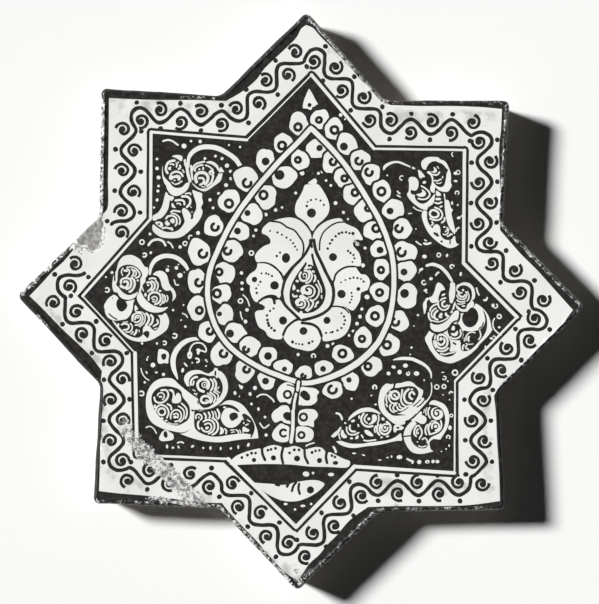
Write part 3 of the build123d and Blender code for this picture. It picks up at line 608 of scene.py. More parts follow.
middleRightPalmette = {
    "tendril": [
        (line, 3.3, (426.5, 265.7, 2.4), (430, 264.6, 2.8), 434, 264.4, 439, 266.3, 443.5, 269.6,
         447, 273.5, (449.8, 277.5, 3.1), (452, 281, 2.2)),
        (patch, 450.5, 282.7, 454.5, 283, 455.3, 287, 455.3, 292, 454.8, 296.5, 453.5, 300, 452.3, 303,
         450, 302.5, 449.3, 298, 449, 293, 450, 288), (line, 1.9, 436, 275, 437.4, 272.9, 438.6, 272.5),
        (dots, (431, 278.7, 1.9, 1.5)), (hook, pale, 424, 282.6, 2.1, -20, 1.4),
        (line, 1.3, 424.3, 290.7, 426, 289.4, 426.9, 290.2, 425.5, 291.4, 427, 292.5),
    ],
    "left lobe": [
        (patch, 435, 289.5, 436, 285.5, 437.5, 283, 439.5, 282.7, 442, 284.5, 444, 287, 445, 289.5,
         443, 290.3, 441, 291, 439.8, 293.5, 438.7, 296.5, 438.3, 299.5, 438, 301, 436.5, 302.5,
         434.5, 302.8, 432, 302.8, 430.5, 301.5, 429.3, 299.5, 428, 300, 426.7, 302.5, 426.8, 306, 426, 310,
         425, 313.5, 424, 313.5, 423.5, 310, 423, 306, 423.5, 302.5, 425, 300.5, 426, 298.3, 429, 297.5,
         432, 296, 433.5, 293.5), (patch, 441.5, 296, 442.5, 294, 444.5, 293.5, 445.5, 294.3, 443.5, 295.8),
        (line, 1.5, 440.6, 300.3, 442.3, 298.7, 445.6, 297.8),
        (line, 1.6, 438.3, 301, 438.3, 305, 440.3, 308.6, 443.8, 310.2, 447.3, 308.8, 449.3, 305.5),
        (line, 2, 444.5, 301, 442.3, 302.8, 442.5, 305.5, 445, 306.8, 447, 305.3),
        (line, 1.6, 437.5, 303.8, 433.5, 305.5, 430.7, 308.3, 429.9, 311),
        (line, 1.8, 428.7, 313, 428.8, 316, 430, 319.3, 431.6, 321),
        (line, 1.5, 436.3, 308.2, 433.5, 309.7, 431.7, 312.2, 431.5, 315, 432.6, 317.5),
        (line, 2.1, 437.5, 310.7, 435.2, 312.7, 434.2, 315.5, 435, 318.3, 437.5, 319.6),
        (patch, 440, 313.5, 442, 313, 442.6, 315, 441.4, 316.1, 442.6, 317.5, 440, 318.2, 438.6, 316.5),
        (line, 1.2, 433, 320.6, 437, 321.8, 441, 321.4, 445, 319.6, 448, 317.6),
        (patch, 445, 313, 446.5, 312.5, 447.5, 314.5, 449.5, 316, 448.5, 317.5, 446.5, 316.5, 445, 315.3),
        (patch, 450.3, 312.5, 451.5, 310.5, 452.5, 311, 453, 312.3, 451, 313),
        (patch, 455.5, 301.5, 456, 304, 454.5, 307, 454, 309.5, 452, 310, 452.8, 307, 453.7, 304),
    ],
    "flower": [
        (patch, 456.3, 287.8, 457, 285.2, 459.5, 284, 462.5, 282.6, 466, 282.4, 469.5, 283.3, 472, 285.5,
         474, 288.5, 475, 292.5, 475, 297, 473.5, 299.5, 472.2, 300.5, 473.5, 302, 474, 304.5, 473, 307,
         470.5, 308, 469, 309.5, 466.5, 311.3, 463, 311.8, 459.5, 310.6, 457, 308.5, 455.8, 306, 456.3, 303,
         456, 297, 456.2, 292),
        (inkPatch, 457.3, 289.3, 459, 287, 461.5, 285.5, 465, 285.3, 468, 286.5, 470.5, 288.5, 471.8, 292,
         472, 296, 471.3, 299.5, 469.5, 302.5, 467.5, 304.5, 466.7, 306.5, 466, 308.5, 463.5, 309.3,
         460.5, 308.3, 457.7, 306, 455.6, 303.5, 455.4, 298, 455.8, 293), (dots, (463, 290.2, 1.2)),
        (line, 1.6, 457.4, 291, 459.5, 292.6, 461.6, 293),
        (line, 1.8, 458.2, 293.6, 459.6, 295.4, 461.2, 296.8, 463.6, 296.8, 464.9, 295),
        (line, 1.4, 457, 295.6, 458.5, 298, 461, 299.5, 464, 299.2, 466, 297.5, 466.7, 294.5, 465.8, 291.8),
        (line, 1.3, 467.6, 291.6, 468.9, 295, 468.6, 298.5, 467, 301),
        (line, 1.3, 457, 300, 459, 301.6, 462, 302.1, 465, 301.3),
        (line, 1, 457.5, 303.7, 461, 304.2, 465, 303.2), (dots, (463.4, 306.2, 1.8, 0.8)),
    ],
    "leaf": [
        (patch, 475, 304.5, 476.5, 303.7, 479.5, 305.5, 483, 308.5, 486.5, 312.5, 489, 317, 490.5, 322,
         491.5, 327.5, (492.5, 329.5, 1), 489.5, 334, 486, 338, 482.5, 341.5, 479.5, 344.5, 477.5, 347.5,
         474.5, 350.5, 470.5, 354, 466, 357, 461, 359.5, 456, 361.8, 451, 363.3, 446.5, 362.7, 441.5, 361.2,
         437.5, 359.3, 434.5, 356, 432, 352.5, 429.5, 349, 427.5, 345, 425.5, 341, 425.2, 337.5, 427, 334.5,
         428.8, 331.5, (429.5, 329.5, 1), 432, 332, 436, 333, 441, 332.7, 446, 331, 449.5, 328, 452, 324,
         456, 322, 459.5, 319, 460.5, 313.6, 464, 313.2, 468, 310.5, 473, 308),
        (inkPatch, 472, 308, 475, 308.5, 477.5, 312, 478.5, 316.5, 477.8, 321, 475.3, 325, 471.5, 327.2,
         467.5, 327, 464.3, 324.5, 462.3, 320.5, 462.2, 316.5, 463.8, 313.5, 466.5, 312.2, 469, 309.8),
        (inkPatch, (482.5, 309.4, 1), 485.3, 313.5, 486.8, 318.5, 487.2, 324, 486.5, 330, 484.5, 334.5,
         482, 338, 479, 341.5, 476, 345, 472.5, 348.3, 468.5, 350.5, 464.5, 351.3, 461.5, 350.3, 460.6, 347,
         460.7, 343, 460, 340.5, 462.5, 338, 463.5, 334.5, 463, 331.5, 464.5, 330.5, 468, 331.3, 473, 331.2,
         478, 330, 481.5, 328, 484, 325, 485.2, 320.5, 484.5, 315.5),
        (inkLine, 1.2, 483.4, 322.5, 482, 326, 479, 328.3),
        (inkPatch, 450.5, 325.5, 452, 322.8, 455, 324, 457.5, 323.7, 459.5, 325, 461, 328, 462.5, 331,
         463, 335, 462, 338.5, 459.5, 340.3, 456, 340.3, 452.5, 340, 450.3, 338.5, 448.8, 335, 447.5, 331.5,
         448.5, 328.5),
        (patch, 451.7, 328, 452.3, 326.3, 454, 325.8, 455, 327.5, 454.5, 330, 452.5, 330.3, 451.3, 329.5),
        (patch, 451, 333, 453, 333.3, 455.5, 332.5, 457, 330.8, 458, 331.5, 457.8, 334, 456, 336,
         453.5, 336, 451.5, 334.8),
        (line, 1.6, 450.6, 337, 453, 338.5, 456.5, 338.5, 459.5, 336.8, 460.9, 334, 460.4, 330),
        (inkPatch, 434.5, 333.8, 438, 333.3, 443, 333, 446.5, 335.3, 448.8, 338.5, 450.3, 342, 450.6, 346.5,
         449.5, 350.5, 452, 351.8, 455, 350.6, 456.3, 352, 453.5, 355, 450, 356.5, 446, 357, 442, 356,
         438.5, 353.8, 435.5, 350.5, 433.3, 346.5, 432, 342, 432, 338),
        (line, 2, 438.2, 340.3, 437.6, 337, 439.5, 334.9, 443, 334.8, 446.2, 337, 447.6, 341, 446.9, 345.2,
         444.3, 347.9, 440.8, 348.5, 437.6, 346.8, 435.9, 344, 435.6, 341),
        (line, 2.1, 437.9, 342.9, 439.3, 344.6, 441.8, 344.8, 444, 343.2, 444.6, 340.6, 443.8, 338.6),
        (patch, 439.5, 340, 440, 337.5, 441.6, 337, 442.4, 338.8, 441.8, 340.2, 440.7, 340.8),
        (line, 1.7, 437.3, 350.2, 441, 351.5, 445.3, 350.6, 448.2, 348.2),
        (line, 1.4, 440.5, 353.8, 445, 354.5, 449, 353.4, 453, 352.6, 455.2, 351.4),
        (line, 1.3, 433.7, 341, 434.2, 344.3, 436, 347.6),
        (patch, 434.8, 335.7, 436.2, 334.6, 435.8, 337.5, 434.8, 340, 434, 338.5),
        (inkLine, 1.8, 453.5, 342.8, 455.6, 344.3),
        (line, 1.2, 466, 340.5, 466.3, 336.5, 468.5, 333.3, 472, 332.2, 475, 333),
        (line, 1.8, 468.6, 341, 468.1, 338.5, 469, 336.6), (line, 0.9, 464.3, 341.5, 464.3, 338),
        (line, 1.3, 479.6, 330.6, 480.7, 334, 480.4, 337, 478.5, 339.5),
        (line, 0.9, 466, 343.5, 469, 344.5, 473, 344), (line, 1.6, 462.9, 349.6, 462.7, 347, 464, 345),
        (line, 1.5, 467, 345.4, 465.6, 347.2, 467.3, 349, 468.6, 349.2),
    ],
    "gaps": [
        (inkLine, 1.6, 429.5, 330, 433, 332.3, 437.5, 333, 442, 332.5, 446, 330.5, 449, 327.5),
        (inkLine, 1.6, 459.7, 312, 460, 316, 459, 320, 457, 322.6),
        (inkLine, 1.2, 459.5, 311.8, 463, 312.8, 466.5, 312.3),
        (patch, 430.5, 323, 434, 324.5, 438, 324.7, 442, 323.7, 446, 321.3, 449, 318.5, 451, 315.5,
         453.5, 312.5, 456, 310.5, 458.5, 311, 459, 313, 458.5, 316.5, 457.5, 319.5, 455, 320.5,
         452.5, 321.8, 450.5, 324, 448.5, 327, 445.5, 329.5, 441.5, 331.3, 437, 331.8, 433.5, 330.8,
         431, 328.5, 430.3, 325.5),
    ],
}
lowerRightPalmette = {
    "tendril": [
        (line, 3.2, (393.5, 359.8, 1.2), (400, 358.6, 2.8), 407, 358.4, 413, 359.4, 419, 361.9,
         (424.5, 365, 3), (428.5, 368.8, 2.6), (430.8, 373, 2), (431.3, 377.5, 1.2)),
        (line, 1.2, 431.5, 383, 431.8, 389, 431, 394, 429, 398.5),
        (dots, (393.5, 367, 2.2, 1.6, 15), (405.5, 365.6, 2.5, 2.1), (388.5, 373.5, 2, 1.9),
         (399.5, 372, 2.2, 2.4), (408, 373.5, 2.1, 2.3)), (inkLine, 0.9, 407.4, 371.5, 408.4, 373.6),
        (dots, (416.5, 373.5, 2.8, 2.1), (424.2, 380.3, 0.9)),
    ],
    "heart": [
        (patch, 393.6, 384, 390.5, 384.3, 387, 383.5, 383.5, 385.7, 380.5, 390, 379, 396, 378.3, 402,
         379.3, 408, 382, 413, 386, 417, 390.5, 421, 395, 424, 400, 425, 404.5, 424, 406, 421.3, 410, 419,
         414, 416, 418, 412, 422, 407.5, 426, 403, 429.3, 398.8, (431, 394.5,
                                                                  1), 428.5, 397.6, 425.5, 400.8,
         423.7, 398, 421.5, 397.5, 422.7, 394, 423, 390.5, 420, 388.3, 416.5, 386, 413, 382.8, 409, 381.3,
         405, 381.8, 401, 383, 396.5, 383.5, 395, 386.5, 394.5, 388),
        (inkPatch, 394, 387.4, 391, 389, 388, 391.5, 385.5, 395.5, 384.2, 400, 384.5, 405, 386, 409.5,
         389, 413, 392.5, 415.3, 396.5, 415.8, 401, 415.5, (406.8, 415.2, 1), 401, 414.2, 397, 413.7,
         400, 412.8, 404, 410.8, 408, 408, 411, 405.3, 414.5, 402, 417, 398, 418.5, 394, 418, 390.5,
         415.5, 387.5, 411.5, 386.2, 407, 386.2, 402, 387, 397, 387.9),
        (inkLine, 1.8, 394.6, 383, 394, 388), (inkLine, 1.2, 420.6, 399.6, 417, 403.3, 413.6, 406),
        (inkLine, 1.4, 424.8, 399.6, 421.5, 404, 417.3, 407),
        (inkLine, 1.2, 405.3, 421.6, 410.5, 419.3, 416, 414.4), (ring, pale, 395, 395.3, 4, 2.1),
        (dots, (394.4, 395, 1.1)), (line, 1.4, 394.4, 395.2, 396, 397, 398, 397.6),
        (dots, (390.2, 391.9, 1.5, 1, -20)),
        (line, 1.6, 389.3, 394, 388.9, 398, 390.3, 401.4, 393.5, 403.4, 397, 403),
        (line, 1.5, 387, 395, 386.2, 399.5, 387, 403), (line, 1.5, 386, 404.3, 387.4, 406.5),
        (line, 2.2, 408.5, 389.2, 405.3, 392.4, 404, 396.8, 405, 400.6, 408, 403, 411.5, 403.2),
        (line, 1.7, 402.3, 390, 401.6, 395, 400.8, 400, 402.8, 404.2, 406.5, 406.3, 410, 405.6),
        (line, 2.2, 412, 399, 410, 397.6, 409.4, 395, 410.6, 392.6, 413, 392.3, 414.3, 394.3),
        (dots, (411.7, 389.4, 1.4, 0.9)), (line, 1.6, 391, 404.4, 389.9, 407, 391, 410.4, 394, 412.4),
        (line, 1.5, 394.2, 405.8, 393.2, 408, 394.6, 410.6, 396.8, 411.2),
        (line, 1.7, 397, 407, 398.5, 409.7, 401.5, 410, 404.5, 408.4),
        (line, 1.5, 399, 404, 400.2, 406.8, 403, 408.2, 406, 407.6),
        (line, 1.4, 393.5, 403.6, 396.4, 405.3),
    ],
    "left leaf": [
        (line, 4.2, (348.8, 420, 1.2), (351.5, 416.5, 2.6), (356.5, 412.8, 3.6), 362, 410.3, 368.5, 409.7,
         (374.5, 411, 3), (380, 413.5, 1.4)),
        (patch, (331, 436.3, 1), 334, 433, 338, 429.8, 340, 427, 341.5, 427.8, 340, 431, 338, 434,
         335.5, 436.5, 333, 437.5),
        (patch, (336, 441.5, 1), 341, 440.8, 346, 442.5, 351, 443.6, 357, 443.8, 363, 443.6, 369, 442.6,
         377, 441.6, 385, 440.6, 391, 439, 396, 436.7, 400.5, 433.3, 401.5, 436, 401.8, 440.5, 397, 440.8,
         390, 442.3, 382, 444.2, 374, 445.5, 366, 446.3, 358, 447.6, 352, 448, 346, 447, 340, 444.6),
        (line, 1.6, 364, 440.2, 368.5, 440.8, 375.5, 439.8), (dots, (368.8, 419, 1.5)),
        (patch, 372, 415.5, 374.5, 414.5, 376.5, 416, 377, 419, 375, 422, 371.5, 424.3, (368, 424.6, 1),
         371, 422, 372.2, 419),
        (line, 1.9, 363.8, 413.6, 361.4, 417.5, 361.8, 422, 364.5, 425.4, 369, 426.8, 372.5, 426),
        (line, 1.5, 367, 414.6, 364.5, 418, 365, 421.4, 367.5, 423.4),
        (dots, (359.2, 417, 1, 1.8, 15), (353, 421, 2, 1.3, -20), (345.3, 423, 1.1),
         (358.3, 425.5, 0.9, 1.6, -20)), (line, 1.3, 378.4, 415, 379, 419, 377.6, 423.6),
        (patch, 381.5, 418, 383, 417.3, 384.5, 419, 384, 420.5, 382, 420), (dots, (385, 427.3, 1.3)),
        (line, 1.6, 387.9, 427.4, 386.8, 430.3, 384, 431, 382, 429, 382.3, 425.8, 384.8, 424, 387.3, 424.4),
        (line, 2, 386.6, 421.6, 389.8, 424.6, 390.6, 428.8, 388.4, 432.8, 384.6, 434.4, 381.2, 432.8,
         379.6, 428.8, 380.8, 424.6), (line, 1.8, 378, 424.8, 376.8, 428, 377.4, 432, 379.4, 435),
        (line, 1.5, 375.6, 426.2, 374.4, 429, 375.2, 432),
        (patch, 364.5, 430.5, 367, 430, 370.5, 432, 373, 434.8, 372.8, 436.3, 369.5, 436, 366.5, 434.3,
         365, 432.5), (line, 1.8, 350, 425.5, 349.6, 428.5, 351.5, 431.2, 355, 431.6),
        (line, 1.6, 346.6, 427.4, 346.8, 431, 349.5, 434.3, 354.5, 434.6, 358.5, 432.6),
        (patch, 341.5, 430, 343.3, 430.3, 344.5, 433.5, 347, 436.3, 346, 438, 343, 438, 341, 435.5,
         340.7, 432.5), (line, 1.3, 338.8, 434, 339, 436.4, 340, 439), (dots, (351.5, 438.3, 1.6, 1)),
        (patch, 355, 439, 356.5, 436, 358.5, 435.5, 358, 438.5), (line, 1.5, 361.4, 435, 363, 437.5),
        (dots, (381.5, 437.4, 1.5, 0.8), (387.5, 436.4, 1.8, 0.8, -10)),
        (patch, 394, 426, 397, 424.5, 403.5, 427, 402.5, 429.5, 400, 430, 397, 430.3, 395.5, 432.5,
         393.5, 431), (inkDots, (397.8, 427.8, 1.6, 1.1)),
    ],
    "right lobe": [
        (patch, 429.2, 405, 430.5, 401.7, 434, 400.2, 438.5, 401.5, 443, 403.5, 446.5, 407, 448.5, 412,
         449.3, 417, 448.7, 423, 447, 428.5, 444.5, 433, 441.5, 437.5, 440, 439.5, 434, 439, 431, 440.5,
         429.5, 443, 430, 447, 431, 449.5, (433.5, 451.3, 1), 429, 452.5, 423, 453.8, 417, 453.7, 412, 452,
         408.5, 448.5, 405.8, 444, 404, 439, 403.7, 434, 405, 429.5, 407.5, 425.5, 411, 422, 414.5, 421,
         418, 424, 426, 420, 430, 412),
        (inkPatch, 416.7, 423.6, 413.5, 427.5, 411.3, 431.5, 410.8, 436, 411.5, 440.5, 414, 444.5,
         417.5, 447.3, 422, 448.5, 426, 447.8, 428, 444.5, 428.5, 441, 431, 437.5, 435, 435.5, 439, 433.5,
         442.5, 430, 444.5, 425.5, 445.3, 420, 444.5, 414, 442, 409.5, 438.5, 406.5, 434, 405, 429.5, 404.8,
         426, 408, 421, 413, 418, 419), (inkLine, 1.4, 402.5, 436.4, 406, 436.3, 411, 435.7),
        (patch, 411, 420.5, 414, 418, 417.5, 414.5, 420.5, 411.5, 422, 412.5, 421.8, 415, 424, 415.8,
         426.3, 418, 426.3, 421, 424.5, 423.5, 421.5, 424, 418.5, 422.5, 416, 421.2),
        (patch, 432, 409, 436, 407.3, 440, 409, 443, 413, 442.5, 416.8, 439.5, 419.3, 436, 420,
         432.8, 417.8, 430.8, 413.5),
        (inkLine, 1.6, 441.5, 409.6, 438, 408.6, 435, 409.3, 433.7, 412, 434.3, 415, 436.5, 416.3,
         438.6, 414.6, 438.3, 411.8, 436.6, 411.7),
        (line, 1.5, 429.8, 407.5, 428, 411, 428.4, 415, 430.3, 418),
        (line, 1.1, 427, 408, 425.6, 411.5, 426, 415), (line, 0.9, 424.5, 409.4, 423.6, 412.6),
        (dots, (435.6, 426.5, 1.6)),
        (line, 1.8, 432, 428.4, 432.2, 424.6, 434.7, 422.8, 438, 423.6, 439.2, 426.4, 438.2, 429.2,
         435.5, 430.6),
        (line, 1.6, 440.8, 420.6, 441.6, 424.5, 440.4, 429, 437.2, 432, 433, 433.6, 429.4, 434.4),
        (line, 1.9, 430.6, 423.2, 428.8, 426, 428.3, 430, 429.4, 433),
        (line, 1.7, 427.3, 424.8, 425.5, 428, 425.3, 432, 426.5, 434.5),
        (line, 1.2, 431.4, 421.4, 433.5, 421, 436, 421.4),
        (line, 1.8, 416.2, 436.2, 414.3, 433.5, 414.8, 429.3, 416.8, 426.2, 419, 425.6),
        (line, 1.6, 419.9, 427.3, 421.8, 431, 421.5, 435, 419.5, 438),
        (line, 1.4, 416.6, 433.6, 416.9, 430.4, 418.4, 429.2), (dots, (418.2, 433, 0.7, 1.4)),
        (line, 1.3, 418.5, 446, 422, 446.9, 426, 445.7),
        (line, 1.5, 422.4, 439.6, 424.5, 438, 427, 440, 427.4, 443),
        (dots, (419.5, 439, 0.7), (417.5, 442, 0.7)),
    ],
}
beads = {
    "outer left": [
        (299, 124, 9.5, 12, 298, 127, 3.7, "ring"), (283, 143, 9, 10, 282, 145.5, 4, "ring"),
        (265, 160, 9.5, 11, 265.5, 161.5, 4, "dot"), (246, 179, 12, 12.5, 247, 183, 4.5, "hook"),
        (229.5, 201, 10.5, 12, 229, 203.5, 4.2, "ring"), (213.5, 226, 10, 10, 215, 227, 4, "hook"),
        (199, 252, 11, 13.5, 203, 253.5, 4.5, "hook"), (196.5, 281, 8.5, 13, 199, 282.5, 4, "hook"),
        (197, 308, 9.5, 12, 199.5, 310.5, 3.5, "ring"), (207, 332, 8.5, 10.5, 210, 331.5, 3.5, "hook"),
        (221.5, 354, 10.5, 12.5, 223.5, 353.5, 4, "hook"), (244.5, 371, 10, 11, 246.5, 369.5, 3.5, "hook"),
        (266.5, 380, 8.5, 9.5, 265.5, 381, 3.5, "dot"),
    ],
    "outer right": [
        (320, 119, 9, 10, 319, 120, 3, "ring"), (334, 129, 9.5, 10.5, 334.5, 130, 4, "ring"),
        (347, 144, 10, 11, 344, 146.5, 4, "dot"), (360, 160, 9.5, 10.5, 359, 161, 3.8, "hook"),
        (371, 174, 9.5, 10, 369, 172, 4, "hook"), (382, 191, 9, 11, 381.5, 191.5, 4.2, "ring"),
        (393.5, 209.5, 10.5, 10.5, 390, 211, 3.5, "dot"), (402, 229, 10, 10, 399, 228.5, 4, "hook"),
        (405, 252, 12, 10.5, 401.5, 252, 4.5, "hook"), (406, 271, 10, 10.5, 404, 272, 3.5, "dot"),
        (407, 296, 11, 12, 404.5, 293.5, 4.5, "dot"), (399, 321, 9.5, 10.5, 395.5, 322, 4, "hook"),
        (389, 345, 10, 11.5, 387, 345, 4, "ring"), (371.5, 366, 11, 9.5, 368, 366.5, 3.5, "ring"),
        (350.5, 381, 8.5, 9.5, 349, 380, 2.8, "dot"), (333, 390, 9.5, 9, 332.5, 389.5, 4.5, "hook"),
    ],
    "inner left": [
        (316, 149, 11, 9, 319.5, 148, 3.2, "dot"), (300, 160, 9, 10, 298, 160, 3, "ring"),
        (284, 177, 12, 11.5, 279.5, 175, 5, "dot"), (266, 197, 11, 11.5, 263.5, 195, 4.2, "ring"),
        (251.5, 214, 11, 10.5, 247.5, 213, 3, "dot"), (239, 232, 10, 10, 237.5, 231, 3.5, "dot"),
        (232, 251, 11, 10.5, 227.5, 251, 4, "hook"), (225, 273, 10, 11, 219, 272, 3.5, "ring"),
        (221.5, 294, 9.5, 10, 217, 293.5, 4, "ring"), (225, 315, 9, 10, 219.5, 314, 2.5, "dot"),
        (235.5, 333, 11, 10, 230, 333.5, 4, "dot"), (249.5, 347, 10, 11, 246, 349.5, 3.2, "hook"),
        (268, 356, 9.5, 9, 268, 356, 4, "dot"), (283.5, 367, 9.5, 7.5, 284.5, 369, 2.5, "dot"),
        (304, 373, 8, 7.5, 303.5, 376, 2.5, "hook"),
    ],
    "inner right": [
        (331.5, 162, 9.5, 11, 333, 162, 3.5, "hook"), (344, 178, 10, 9.5, 344.5, 178.5, 3.2, "ring"),
        (354, 194, 10.5, 11, 355, 192.5, 3.5, "ring"), (364, 211, 10, 10.5, 368, 208.5, 3, "hook"),
        (373, 231, 9.5, 9.5, 376, 228.5, 3.8, "ring"), (379, 249, 8.5, 8.5, 380, 250, 3.5, "dot"),
        (381.5, 269, 8.5, 10, 381, 270, 3.2, "ring"), (380, 292, 9.5, 10, 379.5, 292.5, 3.5, "ring"),
        (375.5, 316, 9, 11, 375, 316, 4, "ring"), (363, 338, 9.5, 10, 362, 339, 3.2, "ring"),
        (342.5, 354, 10.5, 9, 342.5, 353.5, 4, "ring"), (323.5, 368, 9, 8, 323, 369, 3, "dot"),
    ],
}
# The teardrop's pale band, from its point down each side.
teardropBand = {
    "left": [
        (311, 128), (300, 140.5), (281, 159.5), (262, 181), (248, 198.5), (237, 214), (227, 231),
        (217, 252), (210, 270), (207.5, 289), (209, 306), (215, 325), (226, 342.5), (241, 356),
        (262, 368.5), (285, 378), (300, 382.5),
    ],
    "right": [
        (312, 129), (327, 144), (341, 159.5), (352, 174.5), (362, 190), (371, 205), (380, 221), (388, 241),
        (392.5, 258), (394, 280), (392.5, 302), (388, 322, 5.2), (378, 342.5, 5.6), (364, 357.5, 5.8),
        (349, 368.5, 5.8), (330, 377.5, 5.4), (312, 382.5), (300, 383),
    ],
    "width": 4.8,
    "edge": 2.2,
}


beadShape = {
    "steps": 18,
    "waves": [(2, 0.06, 2.1), (3, 0.05, 1.3), (5, 0.035, 2.9), (7, 0.02, 0.7)],  # count, height and shift
    "hookGap": 300,  # where the hooks are open, in degrees
}


def bead(tone, x, y, across, down, seed):  # none of them is quite round
    outline = []
    for step in range(beadShape["steps"]):
        angle = math.radians(360 / beadShape["steps"] * step)
        reach = 1
        for count, height, shift in beadShape["waves"]:
            reach += height * math.sin(count * angle + shift * seed)
        outline.append((x + across * reach * math.cos(angle), y + down * reach * math.sin(angle)))
    fill(tone, *outline)


def paintBeads():
    edge, ink = brushes["outline"], brushes["mark"]
    for seed, (x, y, across, down, markX, markY, markRadius, kind) in enumerate(sum(beads.values(), [])):
        bead(dark, x, y, across + edge, down + edge, seed)
        bead(pale, x, y, across, down, seed)
        if kind == "ring":
            ring(dark, markX, markY, markRadius - 0.4, ink)
        elif kind == "hook":
            hook(dark, markX, markY, markRadius - 0.5, beadShape["hookGap"], ink)
        else:
            dab(dark, markX, markY, markRadius)
    width, edge = teardropBand["width"], teardropBand["edge"]
    sides = [teardropBand["left"], teardropBand["right"]]
    for side in sides:
        edged = [(x, y, (own[0] if own else width) + 2 * edge) for x, y, *own in side]
        brush(dark, width + 2 * edge, *edged)
    for side in sides:
        brush(pale, width, *side)


